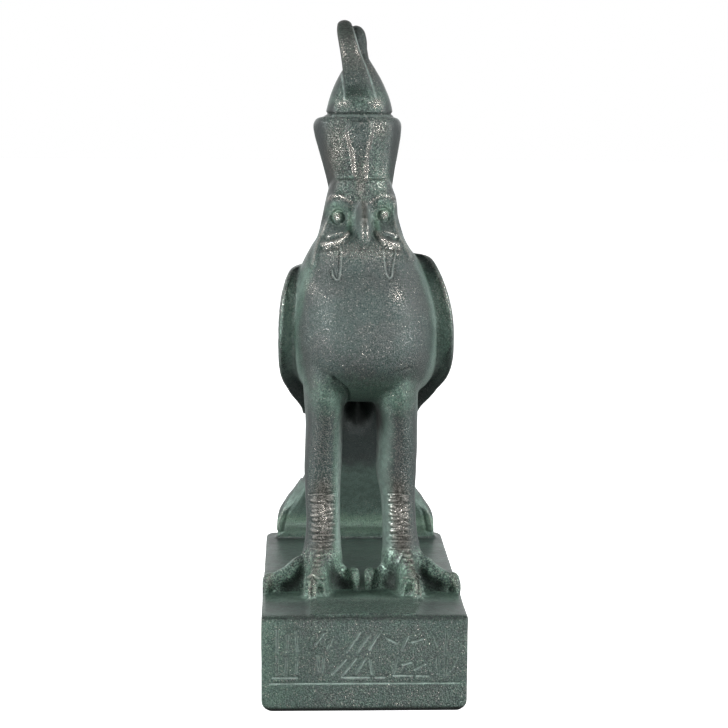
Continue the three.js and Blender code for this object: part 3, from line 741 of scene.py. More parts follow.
class Neighbours:
    """Averages over the points that share an edge with each point."""

    def __init__(self, mesh):
        pairs = read(mesh.edges, "vertices", np.int32, 2)
        self.a, self.b = pairs.T
        self.size = len(mesh.vertices)
        self.count = np.maximum(np.bincount(pairs.ravel(), minlength=self.size), 1)

    def mean(self, values):
        if values.ndim > 1:
            return np.column_stack([self.mean(column) for column in values.T])
        total = np.bincount(self.a, values[self.b], self.size)
        return (total + np.bincount(self.b, values[self.a], self.size)) / self.count

    def blurred(self, values, rounds):
        for _ in range(rounds):
            values = (values + self.mean(values)) / 2
        return values


def fill_creases(mesh):
    """Softens the skin as a casting does: every point moves a little towards the mean of its
    neighbours, and points in a crease move further, which leaves a fillet. Over the thighs, round
    the toes and at the tail's foot the fillet is wider."""
    near = Neighbours(mesh)
    points = points_of(mesh)
    for _ in range(2):
        points += 0.5 * (near.mean(points) - points)
    set_points(mesh, points)
    hollow = np.einsum("ij,ij->i", near.mean(points) - points, normals_of(mesh))
    crease = near.blurred(np.clip(hollow / 0.03, 0, 1), 6)
    z, y = points[:, 2], points[:, 1]
    weight = np.clip(2.2 * crease, 0, 1) * (1 - 0.85 * rise(178, 184, z))
    for _ in range(8):
        points += (0.6 * weight)[:, None] * (near.mean(points) - points)
    thigh = span(z, 60, 72, 92, 100) * fall(-20, -8, y)
    thigh *= np.clip(4 * near.blurred(crease, 40), 0, 1) * (np.abs(points[:, 0]) < 27)
    foot_zone = span(z, -1, 0.5, 14, 20) * fall(-4, 4, y)
    foot_zone *= np.clip(1.2 * crease, 0, 1)
    tail_zone = span(z, -2, -0.5, 6, 10) * rise(30, 40, y) * np.clip(2 * crease, 0, 1)
    weight = np.clip(thigh + 0.6 * foot_zone + tail_zone, 0, 1)
    for _ in range(36):
        points += (0.6 * weight)[:, None] * (near.mean(points) - points)
    set_points(mesh, points)


def refined(mesh, chosen):
    """The mesh with each chosen quad split into four. A neighbour that isn't chosen takes the new
    points into its own outline, so the skin stays closed."""
    points = points_of(mesh)
    quads, sides = (read(mesh.loops, name, np.int32) for name in ("vertex_index", "edge_index"))
    starts, totals = (
        read(mesh.polygons, name, np.int32) for name in ("loop_start", "loop_total"))
    chosen = chosen & (totals == 4)
    corner = starts[chosen][:, None] + np.arange(4)
    split = np.zeros(len(mesh.edges), bool)
    split[sides[corner]] = True
    pairs = read(mesh.edges, "vertices", np.int32, 2)
    middle_of = np.full(len(mesh.edges), -1)
    middle_of[split] = len(points) + np.arange(split.sum())
    middles = points[pairs[split]].mean(axis=1)
    hubs = points[quads[corner]].mean(axis=1)
    hub = len(points) + len(middles) + np.arange(len(hubs))
    corners, edges = quads[corner], middle_of[sides[corner]]
    small = np.stack([
        np.stack([corners[:, k], edges[:, k], hub, edges[:, k - 1]], axis=-1)
        for k in range(4)], axis=1)
    face_of = np.repeat(np.arange(len(totals)), totals)
    kept = ~chosen[face_of]
    loops = np.stack([quads[kept], middle_of[sides[kept]]], axis=-1)
    counts = np.bincount(face_of[kept], (loops >= 0).sum(axis=1), len(totals))
    counts = counts[~chosen].astype(int)
    loops = loops.ravel()
    all_loops = np.concatenate([loops[loops >= 0], small.reshape(-1)])
    all_counts = np.concatenate([counts, np.full(len(small) * 4, 4)])
    all_points = np.concatenate([points, middles, hubs])
    made = mesh_from(mesh.name, all_points * MM, all_loops, all_counts)
    bpy.data.meshes.remove(mesh)
    return made


def face_centres(mesh):
    return read(mesh.polygons, "center", np.float32, 3) / MM


def within(points, low, high):
    return np.all((points > np.asarray(low)) & (points < np.asarray(high)), axis=1)


# Carving

def line_distance(x, z, line, fine=10):
    """Distance of each x, z from a smooth line through the points."""
    curve = smooth_rows(line, np.linspace(0, len(line) - 1, (len(line) - 1) * fine + 1))
    nearest = np.full(len(x), 1e9)
    for (ax, az), (bx, bz) in zip(curve[:-1], curve[1:]):
        dx, dz = bx - ax, bz - az
        share = np.clip(((x - ax) * dx + (z - az) * dz) / (dx * dx + dz * dz), 0, 1)
        nearest = np.minimum(nearest, np.hypot(x - ax - share * dx, z - az - share * dz))
    return nearest


def lattice_noise(points, cell, seed):
    """Smooth noise from -1 to 1: random values on a lattice of the given cell, blended between
    the eight corners round each point smoothly."""
    values = np.random.RandomState(seed).uniform(-1, 1, (32, 32, 32))
    place = points / cell + 1000.0
    base = np.floor(place).astype(int)
    share = place - base
    share = share * share * (3 - 2 * share)
    total = 0.0
    for corner in np.ndindex(2, 2, 2):
        weight = np.prod(np.where(corner, share, 1 - share), axis=1)
        total = total + weight * values[tuple(((base + corner) % 32).T)]
    return total


def near_points(points, low, high):
    return np.flatnonzero(within(points, low, high))


def middle_toes(y):
    """For each foot, x of the middle toe's line at every y."""
    for places in (LEFT_FOOT, RIGHT_FOOT):
        toe_x, toe_y = np.array(places["middle"]).T
        yield np.interp(-y, -toe_y, toe_x)


def face_relief(points):
    """Height of the face's carving: hollows round the eyes and beside the beak, the lids, the
    ledge of the cheeks, the stripe that hangs from each cheek, the ridge down each side of the
    neck, and two short ridges on the beak's tip."""
    height = np.zeros(len(points))
    near = near_points(points, (-24, -60, 122), (24, -8, 168))
    x, y, z = points[near].T
    relief = np.zeros(len(near))
    lines = zip(EYES, CHEEKS, LOWER_LIDS, STRIPES, COLLARS)
    for (eye_x, eye_z), cheek, lid, stripe, collar in lines:
        reach = np.hypot((x - eye_x) / 1.15, z - eye_z)
        relief -= 1.7 * ridge(reach, 5.8) * rise(1.7, 2.5, reach)
        relief -= 0.5 * ridge(reach - 2.1, 0.7)
        relief += 0.25 * ridge(reach - 3.0, 0.6)
        relief += 0.9 * ridge(line_distance(x, z, cheek), 1.5)
        relief -= 0.6 * ridge(line_distance(x, z + 1.7, cheek), 1.4)
        relief += 0.5 * ridge(line_distance(x, z, lid), 0.6)
        relief -= 0.5 * ridge(line_distance(x, z + 1.2, lid), 0.9)
        from_stripe, from_collar = line_distance(x, z, stripe), line_distance(x, z, collar)
        relief += 0.28 * ridge(from_stripe, 0.45)
        relief -= 0.2 * ridge(from_stripe - 0.8, 0.5)
        relief += 0.7 * ridge(from_collar, 0.8)
        relief -= 0.35 * ridge(from_collar - 1.6, 1.0)
    beside = np.abs(np.abs(x - HEAD_AXIS - 0.6) - 4.4)
    relief -= 0.45 * ridge(beside, 2.0) * rise(142, 146, z) * fall(156, 160, z)
    relief += 0.25 * ridge(np.abs(x - 0.5) - 0.9, 0.5) * ridge(z - 146, 4) * (y < -34)
    height[near] = relief * fall(-18, -12, y)
    return height


def body_relief(points):
    """Height of the carving on the body: the creases over the thighs, the dark hollow behind the
    belly, the ridge along each side of the tail, and the rounded ledge at the tail's foot."""
    height = np.zeros(len(points))
    near = near_points(points, (-22, -60, 74), (22, -30, 98))
    x, z = points[near, 0], points[near, 2]
    for crease, depth, width in zip(THIGH_CREASES, (1.8, 0.3), (1.1, 0.9)):
        run = (x - crease[0][0]) / (crease[-1][0] - crease[0][0])
        fade = rise(0, 0.25, run) * fall(0.8, 1.05, run)
        height[near] -= depth * ridge(line_distance(x, z, crease), width) * fade
    near = near_points(points, (-8, -16, 52), (8, 28, 84))
    x, y, z = points[near].T
    height[near] -= 12.0 * ridge(x + 0.2, 7.5) * ridge(z - 67, 13) * rise(-14, -2, y)
    near = near_points(points, (-40, 28, 2), (40, 60, 30))
    x, y, z = points[near].T
    from_ridge = line_distance(-np.abs(x), z, TAIL_RIDGE)
    height[near] += 0.8 * ridge(from_ridge, 1.0) - 0.5 * ridge(from_ridge - 2.0, 1.4)
    ledge = 0.5 * ridge(z - 7.0, 3.4) * rise(40, 46, y)
    height[near] += ledge * fall(30, 34, np.abs(x))
    return height


def crown_relief(points):
    """Height of the crown's carving: a groove round the bulb's foot, the hollow at the strap's
    foot, and the short ridge that runs on from the strap's right edge."""
    height = np.zeros(len(points))
    near = near_points(points, (-24, -30, 184), (20, 16, 204))
    x, y, z = points[near].T
    reach = np.hypot(x + 1.3, y + 6.6)
    height[near] -= 0.7 * ridge(z - 192.2, 0.9) * (reach < 15.3)
    height[near] -= 0.7 * spot((x + 3.4) / 1.3, (z - 199.8) / 1.1, 4.2) * (y < -14)
    from_tail = line_distance(x, z, ((0.6, 192), (1.6, 190), (3.4, 186.6)))
    height[near] += 0.5 * ridge(from_tail, 0.6) * (y < -20)
    return height


def shank_relief(points):
    """Height of the horny plates: a groove with a raised lip at each ring, two columns of beads
    between the rings as rounded bumps, and crinkled skin down the middle."""
    height = np.zeros(len(points))
    for leg, half_width, shift in ((LEFT_LEG, 3.2, -0.2), (RIGHT_LEG, 2.6, 0.0)):
        x_middle = np.interp(points[:, 2], leg[::-1, 2], leg[::-1, 0]) + shift
        near = np.flatnonzero((np.abs(points[:, 0] - x_middle) < 8) & (points[:, 1] < -22)
                              & (points[:, 2] > 13) & (points[:, 2] < 46))
        u, z = (points[near, 0] - x_middle[near]), points[near, 2]
        front = 1 - rise(-27, -23, points[near, 1])
        relief = np.zeros(len(near))
        wander = 0.35 * lattice_noise(points[near], 3.0, 14)
        middle = 1 - rise(1.2, 1.9, np.abs(u) / half_width)
        for ring in RING_HEIGHTS:
            above = z + 0.35 * (u / half_width) ** 2 / 2 + wander - ring
            relief += (0.30 * ridge(above + 0.55, 0.4) - 0.42 * ridge(above, 0.4)) * middle
        for k, bead_z in enumerate(BEAD_HEIGHTS):
            for side in (-1, 1):
                long = 1.5 + 0.5 * math.sin(2.3 * k + side)
                from_bead = z + wander - bead_z - 0.3 * side
                reach = np.hypot((u - side * half_width) / long, from_bead / 0.9)
                relief += 0.60 * np.clip(1 - reach ** 2, 0, 1) ** 0.6
        crinkle = 0.24 * lattice_noise(points[near], 0.75, 11)
        crinkle *= 1 - rise(0.9, 1.3, np.abs(u) / half_width)
        relief += crinkle * rise(15, 18, z)
        height[near] += relief * front * rise(14, 16.5, z) * fall(40.6, 45, z)
    return height


def foot_relief(points):
    """Height of the feet's carving: knobbly skin, wrinkles over the middle toe's joints, the
    cuticle over its claw, one groove down the claw, and the pits between the toes."""
    height = np.zeros(len(points))
    near = near_points(points, (-41, -53, 0.4), (41, -20, 20))
    x, y, z = points[near].T
    knobs = 0.10 * lattice_noise(points[near], 1.6, 12)
    knobs += 0.08 * lattice_noise(points[near], 0.8, 13)
    relief = knobs * rise(0.4, 2.0, z)
    for axis in middle_toes(y):
        u = x - axis
        on_toe = ridge(u, 4.0) * rise(-30, -34, y)
        relief += 0.32 * np.sin(2 * np.pi * z / 1.5) * on_toe * rise(11, 12, z)
        above = np.abs(z - 10.2 + 0.75 * np.abs(u))
        cuticle = 0.6 * ridge(above, 0.7) - 0.5 * ridge(above - 1.1, 0.7)
        relief += cuticle * rise(-38, -41, y) * (np.abs(u) < 4.6)
        relief -= 0.5 * rise(-43.0, -44.6, y) * (z < 8.4) * ridge(u, 0.9)
    pit = pit_places(x, z)
    height[near] = relief * (1 - pit) - 0.9 * pit * rise(0.8, 3.0, z)
    return height


def pit_places(x, z):
    """From 0 to 1 in the pits between the toes, narrowing and fading upwards."""
    deepest = 0.0
    half_width = np.clip(3.9 - 0.2 * z, 1.4, 3.9)
    for pit in TOE_PITS:
        share = line_distance(x, z, pit) / half_width
        deepest = np.maximum(deepest, rise(1.25, 0.1, share))
    return deepest * (1 - 0.75 * rise(5, 11, z))


def stroke_relief(points, low, high, plinth_height, reach=2.0, wider=0.0):
    """Depth of the worn strokes on the plinth's front, which stand in two rows over a row of level
    ones, and of the long groove below them, for points up to `reach` behind the front. `wider` is
    added to their half widths."""
    depth = np.zeros(len(points))
    near = np.flatnonzero(points[:, 1] < low[1] + reach)
    x, z = points[near, 0], points[near, 2] + plinth_height
    cut = 0.45 * ridge(z - RULE, 0.6 + wider) * (np.abs(x) < (high[0] - low[0]) / 2 - 3.0)
    for middle_x, middle_z, half, lean in STROKES:
        turn = math.radians(lean)
        along = (x - middle_x) * math.sin(turn) + (z - middle_z) * math.cos(turn)
        across = (x - middle_x) * math.cos(turn) - (z - middle_z) * math.sin(turn)
        past = np.maximum(np.abs(along) - half, 0)
        cut = np.maximum(cut, 0.5 * ridge(np.hypot(across, past), 0.7 + wider))
    depth[near] = cut
    return depth


def cast_unevenness(points):
    """The slight swells and pits of a cast surface."""
    return 0.11 * lattice_noise(points, 9.0, 3) + 0.05 * lattice_noise(points, 3.2, 4)


def carve(mesh, low, high, sizes):
    """Moves the skin along its normals by the height of the relief. The underside stays flat."""
    points, normals = points_of(mesh), normals_of(mesh)
    plinth_height = sizes.plinth_height / MM
    height = face_relief(points) + body_relief(points) + crown_relief(points)
    strokes = stroke_relief(points, low, high, plinth_height)
    height += shank_relief(points) + foot_relief(points) - strokes
    inside_box = rise(0.0, 0.6, points[:, 2] + plinth_height)
    height += (cast_unevenness(points) - 0.12) * inside_box
    set_points(mesh, points + normals * height[:, None])


def finest(mesh, low, high, plinth_height):
    """True for the points on and beside the strokes, the curl's edges and the stripes."""
    points = points_of(mesh)
    x, y, z = points.T
    keep = stroke_relief(points, low, high, plinth_height, STROKE_REACH, 0.3) > 0
    for line in STRAP_LINES:
        keep |= (line_distance(x, z, line) < 1.1) & (y < -6) & (z > 190)
    near = near_points(points, *STRIPE_BOX)
    for stripe in STRIPES:
        keep[near] |= line_distance(x[near], z[near], stripe) < 0.9
    return keep


def thinned(mesh, triangles, keep):
    """The mesh brought down to a number of triangles where it is flattest. Kept points stay."""
    piece = bpy.data.objects.new("thick", mesh)
    bpy.context.scene.collection.objects.link(piece)
    counts = read(mesh.polygons, "loop_total", np.int32)
    piece.vertex_groups.new(name="thin").add(np.flatnonzero(~keep).tolist(), 1.0, "REPLACE")
    decimate = piece.modifiers.new("thin", "DECIMATE")
    decimate.vertex_group = "thin"
    decimate.vertex_group_factor = 0.001
    decimate.ratio = min(1.0, triangles / (counts - 2).sum())
    decimate.use_collapse_triangulate = True
    made = finished_mesh(piece, "thin")
    bpy.data.objects.remove(piece)
    return made


# Attributes that the finish reads

# Heights up the breast and half widths of its edge there, measured from BREAST_MIDDLE.
BREAST_MIDDLE = 1.0
BREAST_EDGE = ((78, 90, 106, 118, 130, 140), (22, 27, 29.5, 27.5, 23.5, 18))
BELLY_EDGE = ((78, 86, 94), (21, 25.5, 28))
# The pale line down the breast's right side, as heights and x.
PALE_EDGE = ((84, 94, 106, 118, 130, 136), (24.5, 28, 29.5, 27.5, 23, 20))
# The curl's middle line as heights and x, beside which two painted highlight bands run, and the
# hood's polished lines with width and strength.
CURL_MIDDLE = ((200, 206, 213, 220, 225), (-2.0, -3.0, -4.4, -5.9, -7.1))
HOOD_LINES = (
    (((-6.9, 184), (-5.8, 180.8), (-4.2, 174.5), (-3.6, 168.5)), 1.7, 0.95),
    (((3.2, 184), (2.2, 180.2), (1.3, 174.6), (1.1, 166.5)), 1.4, 0.8),
)
# Painted highlights (glints) on the breast and the wings: x, z and radius.
GLINTS = ((12.6, 122.5, 5.5), (-20.5, 124.5, 4.5), (-27.5, 125.0, 3.0))
# Painted highlights on the bulb's shoulders.
BULB_SHOULDERS = ((-8.3, 0.7), (5.2, 0.95))  # x and strength
# Millimetres at which wear, hollows and carving count in full.
FULL_WEAR, FULL_HOLLOW, FULL_CARVING = 0.08, 0.7, 0.5
FINE_FACE = 0.2  # mean square edge, in square millimetres, up to which wear counts in full
STROKE_REACH = 2.8  # how far behind the plinth's front its strokes still count


def add_attribute(mesh, name, values):
    attribute = mesh.attributes.new(name, "FLOAT", "POINT")
    attribute.data.foreach_set("value", np.ascontiguousarray(values, np.float32))


def mark_wear(mesh, low, high, plinth_height):
    """Writes the values that the finish reads, each from 0 to 1: `wear` on edges, `hollow` in
    creases, `line` in carved lines, `green` where verdigris has gathered and where green is
    painted as light in shaded places, `dark` where shade is painted dark and some places are
    made darker, `smooth` where the skin is burnished, `rubbed_and_highlight` where it is polished
    bright or carries a painted highlight, `pale` along crusted lines and where light and highlights
    are painted pale, `mottled` where light and dark green mix, and `brown` where the patina is
    thin.
    Wear and hollows go by how far a point lies from the middle of its neighbours along its
    normal, and count for less where the faces are large."""
    near = Neighbours(mesh)
    points, normals = points_of(mesh), normals_of(mesh)
    x, y, z = points.T
    mean, square = near.mean(points), (points ** 2).sum(axis=1)
    spread = near.mean(square) + square - 2 * (mean * points).sum(axis=1)
    finer = FINE_FACE / np.maximum(spread, FINE_FACE)
    fine = np.einsum("ij,ij->i", mean - points, normals) * finer
    rounded = points
    for _ in range(12):
        rounded = near.mean(rounded)
    broad = np.einsum("ij,ij->i", rounded - points, normals) * np.sqrt(finer)
    strokes = stroke_relief(points, low, high, plinth_height, STROKE_REACH)
    carved = face_relief(points) + shank_relief(points) + foot_relief(points)
    carved += crown_relief(points) - strokes
    wide = np.abs(x - BREAST_MIDDLE)
    flanks = rise(20, 26, wide) * (z > 74) * (z < 142)
    feet = rise(0.2, 1.0, z) * (z < 18) * (y < -18)
    worn = near.blurred(np.clip(-fine / FULL_WEAR, 0, 1), 1) * (y > low[1] + 2.4)
    worn *= 1 - 0.8 * rise(30, 32, wide) * (z > 74)
    hollow = near.blurred(np.clip(broad / FULL_HOLLOW, 0, 1), 2)
    crusted = np.clip(strokes / 0.35, 0, 1) * (0.55 + 0.45 * rise(40, 0, x))
    marks = {
        "wear": np.maximum(worn, np.clip(carved / FULL_CARVING, 0, 1)),
        "hollow": hollow * (1 - np.maximum(0.85 * flanks, 0.6 * feet)),
        "line": np.clip(-carved / FULL_CARVING, 0, 1),
        "green": np.maximum(verdigris_and_painted_light_places(points, normals, low, plinth_height),
                            0.5 * np.clip(strokes / 0.4, 0, 1)),
        "dark": painted_shade_and_dark_places(points, normals, low, plinth_height),
        "smooth": smooth_places(points, normals, low),
        "rubbed_and_highlight": wear_and_highlight_places(points),
        "pale": np.maximum(pale_places(points, normals), crusted),
        "mottled": mottled_places(points, normals, low),
        "brown": brown_places(points),
    }
    for name, values in marks.items():
        add_attribute(mesh, name, np.clip(values, 0, 1))


def leg_middle(points):
    """Distance across from the middle of the nearer leg, towards the outside as positive."""
    x, z = points[:, 0], points[:, 2]
    left, right = (np.interp(z, leg[::-1, 2], leg[::-1, 0]) for leg in (LEFT_LEG, RIGHT_LEG))
    return np.where(x < 0, left - x, x - right)


def past_edge(x, z, edge):
    """How far x lies outside an edge of the breast at height z."""
    return np.abs(x - BREAST_MIDDLE) - np.interp(z, *edge)


def tail_face(y, normals):
    return rise(26, 34, y) * rise(0.1, -0.5, normals[:, 1])


def verdigris_and_painted_light_places(points, normals, low, plinth_height):
    """Where verdigris has gathered: round the toes and claws, the plinth's top and front, the
    pad and the groove, under the belly, along the breast's edge, round the eyes and beside the
    beak, over a brow, on the cap and on the bulb. On the tail's face, the legs' inner sides and
    edges and in the channels, which lie in shade, green is painted as light, pale at the tail's
    foot. Above 0.6 it is pale."""
    x, y, z = points.T
    side, out, past = np.abs(x), leg_middle(points), past_edge(x, z, BREAST_EDGE)
    on_top, level, head = rise(0.4, 0.8, normals[:, 2]), np.abs(z) < 1.0, y < -16
    toes = 0.5 * span(z, -1.6, -0.3, 8, 17) * span(y, -52, -47, -24, -14)
    toes *= 1 - rise(38, 40, side)
    claws = 0.62 * level * ridge(y + 43, 7.5) * fall(30, 36, side)
    # Painted light: the tail's face lies in shade and is painted green, pale at its foot.
    tail = 0.5 + 0.16 * fall(8, 20, z) + 0.45 * span(z, 2.5, 5.0, 9.5, 15)
    tail *= tail_face(y, normals) * rise(0.2, 1.6, z)
    behind = 0.3 * on_top * level
    legs = (z > 4) * fall(76, 86, z) * (y < -4) * (y > -60)
    # Painted light: the legs' inner sides lie in shade and are painted green as if lit.
    inner = np.where(x < 0, rise(-1.5, -5.5, out), 0.75 * rise(1.5, -4.5, out))
    inner *= 0.6 * legs
    # Painted sheen: green on the legs' sideways edges stands in for light they catch.
    leg_edges = 0.12 * legs * rise(0.62, 0.9, np.abs(normals[:, 0]))
    belly = 0.55 * ridge(z - 82, 18) * fall(14, 28, side) * (y < -8)
    # Painted light: the channels lie in shade and are painted green as if lit.
    channel = 0.5 * span(past, -1.0, 0.5, 4.5, 6.0) * span(z, 80, 98, 124, 132)
    channel *= rise(-8, -18, y)
    breast_edge = 0.55 * ridge(past, 5.5) * span(z, 74, 88, 128, 142) * (y < -8)
    eyes = 0.85 * sum(spot(x - ex, z - ez - 1.5, 7.5) for ex, ez in EYES) * head
    brow = 0.62 * spot((x - 7.6) / 1.4, z - 156.6, 3.6) * head
    beside_beak = 0.85 * ridge(np.abs(x - HEAD_AXIS - 0.8) - 5.4, 3.2) * ridge(z - 150, 11) * head
    cap = 0.45 * ridge(x - 7, 9) * ridge(z - 166, 15) + 0.25 * ridge(x + 9, 6) * ridge(z - 163, 8)
    cap *= y < -8
    bulb = 0.35 * ridge(z - 199, 10) * (normals[:, 1] < 0)
    front = y < low[1] + 2.0
    groove = 0.55 * front * ridge(z + plinth_height - RULE, 1.3)
    plinth = front * (0.2 + 0.28 * fall(-38, -20, x))
    pad = 0.3 * on_top * on_pad(y, z) * (x > -22) * (x < 26)
    return np.maximum.reduce([
        toes, claws, tail, behind, inner, leg_edges, belly, breast_edge, eyes, brow, channel,
        beside_beak, cap, bulb, groove, plinth, pad])


def on_pad(y, z):
    return (np.abs(z - 0.8) < 0.5) * (y < -43)


def painted_shade_and_dark_places(points, normals, low, plinth_height):
    """Painted shade, nearly black in the hollow behind the belly and round its edge, in the pits
    between the toes, at the plinth's lower and upper front edges and under the tail, and thinner
    between the legs, in the thighs' creases, on the knob, on the curl's top and at the channels'
    feet. Also made darker, thinly: down the beak's middle, the crown, the breast's foot, the
    tail's right side and the front's left end."""
    x, y, z = points.T
    inward, wide = normals[:, 1] < 0.4, np.abs(x - BREAST_MIDDLE)
    hollow = np.minimum(1.6 * ridge(x + 0.2, 11) * ridge(z - 67, 14), 1)
    hollow *= rise(-30, -8, y) * inward
    painted_rim = np.minimum(2.4 * spot((x - 0.3) / 1.15, z - 70, 10.5), 0.95) * (y < 12) * inward
    bottom = (y < low[1] + 3) * fall(1.3, 2.5, z + plinth_height)
    top = 0.8 * (y < low[1] + 2.4) * ridge(z + 0.8, 1.5)
    toes = 0.92 * pit_places(x, z) ** 0.7 * (y < -18) * (y > -46) * (z > 0.3) * (z < 17)
    between_legs = 0.35 * (np.abs(z) < 1.0) * ridge(x, 22) * rise(-6, 6, y)
    between_legs *= normals[:, 2] > 0.5
    knob = 0.6 * rise(-11, -7, y) * (y < 6) * rise(212, 216, z)
    strap = 0.5 * (y < -6) * rise(217, 224, z)
    tail_side = 0.22 * rise(14, 22, x) * (y > 26) * (z < 32) * (z > 0.5)
    breast = (0.02 + 0.10 * rise(108, 88, z)) * fall(20, 29, wide)
    breast *= ridge(z - 100, 34) * (y < -14)
    crown = 0.32 * ridge(z - 207, 12) * (np.abs(x + 3) < 6) * (y < -12)
    crown += 0.13 * rise(156, 162, z)
    front_left = 0.18 * (y < low[1] + 2.2) * fall(-30, -10, x)
    tail_line = 0.7 * ridge(z - 0.7, 1.7) * (y > 48) * (y < 60)
    left_crease, right_crease = (line_distance(x, z, line) for line in THIGH_CREASES)
    beak = 0.5 * ridge(x - 0.2, 1.5) * span(z, 148, 150, 156, 159) * (y < -24)
    channel = 0.12 * rise(-0.5, 1.0, past_edge(x, z, BELLY_EDGE)) * ridge(z - 84, 14)
    return np.maximum.reduce([
        hollow, painted_rim, bottom, top, toes, between_legs, knob, strap, tail_side, breast, crown,
        front_left, tail_line, 0.55 * ridge(left_crease, 1.2) * (y < -26) * (z < 92),
        0.35 * ridge(right_crease, 1.4) * (y < -30), beak, channel * (y > -30)])


def smooth_places(points, normals, low):
    """Where the skin is burnished and has no flakes: the wings' outer faces and edges, the flanks,
    the legs' inner and outer sides, the cap's sides, the plinth's top and the upper tail."""
    x, y, z = points.T
    wide, sideways = np.abs(x - BREAST_MIDDLE), np.abs(normals[:, 0])
    wings = rise(33.5, 36, wide) * (z > 74)
    flank = 0.35 * rise(20, 28, wide) * (z > 70) * (z < 142)
    legs = np.maximum(rise(3.0, -1.0, leg_middle(points)) * (x > 0),
                      rise(0.8, 0.96, sideways))
    cap = rise(0.60, 0.85, sideways) * (z > 150)
    top = rise(0.5, 0.9, normals[:, 2]) * (np.abs(z) < 0.6) * (y > low[1] + 2)
    tail = 0.7 * rise(8, 14, y) * rise(14, 24, z) * (z < 70)
    return np.maximum.reduce([
        wings, flank, legs * (z > 8) * (z < 74) * (y < -4), cap, top, tail])


def mottled_places(points, normals, low):
    """Where light and dark green mix in small spots: the feet, the plinth's top beside the claws,
    its front and the pad, round the eyes, under the cheeks, the crown's front, the belly's foot
    and the channels."""
    x, y, z = points.T
    wide = np.abs(x - BREAST_MIDDLE)
    feet = rise(-0.4, 0.6, z) * fall(14, 19, z) * (y < -18) * (y > -50)
    claw_side = 0.6 * (np.abs(z) < 1.0) * span(y, -53, -48, -36, -30)
    eyes = 0.7 * sum(spot(x - ex, z - ez, 8.5) for ex, ez in EYES) * (y < -16)
    cheeks = 0.4 * ridge(z - 140, 8) * (y < -20)
    crown = 0.5 * (1 - 0.55 * rise(198, 206, z)) * (z > 158) * (y < -12)
    crown *= rise(0.85, 0.5, np.abs(normals[:, 0]))
    crown *= 1 - 0.8 * ridge(x + 1.2, 5.5) * rise(172, 180, z) * (z < 191)
    belly = 0.35 * ridge(z - 84, 12) * (y < -8)
    channels = 0.7 * span(wide, 27, 30, 34, 36) * (z > 76) * (z < 142) * rise(-8, -18, y)
    front = 0.5 * (y < low[1] + 2.2)
    return np.maximum.reduce([
        feet, claw_side, eyes, cheeks, crown, belly, channels, front, 0.7 * on_pad(y, z)])


def brown_places(points):
    """Where the patina is thin and brown: the shins, the middle toes, the outer claws, the beak's
    ridge, the lower hood, the cap's front and the curl."""
    x, y, z = points.T
    shins = ridge(leg_middle(points), 6.5) * span(z, 12, 18, 42, 50) * (y < -24) * (y > -38)
    toe_zone = (y < -30) * (y > -50) * rise(1, 3, z) * (z < 18)
    toes = np.maximum.reduce([ridge(x - axis, 3.2) * toe_zone for axis in middle_toes(y)])
    outer_claws = 0.8 * ridge(np.abs(x) - 37.5, 2.6) * (y < -26) * (y > -40)
    outer_claws *= rise(1, 3, z) * (z < 12)
    beak = ridge(x - 0.2, 2.4) * span(z, 146, 149, 157, 160) * (y < -24)
    hood = 0.7 * ridge(x + 1.2, 4.0) * ridge(z - 166, 14) * (y < -20)
    cap = 0.8 * ridge(x + 11.5, 6.5) * ridge(z - 176, 20)
    cap += 0.6 * ridge(x - 7, 6) * ridge(z - 186, 7)
    strap = 0.5 * rise(205, 212, z) * (y < -6)
    return np.maximum.reduce([shins, toes, outer_claws, beak, hood, cap * (y < -8), strap])


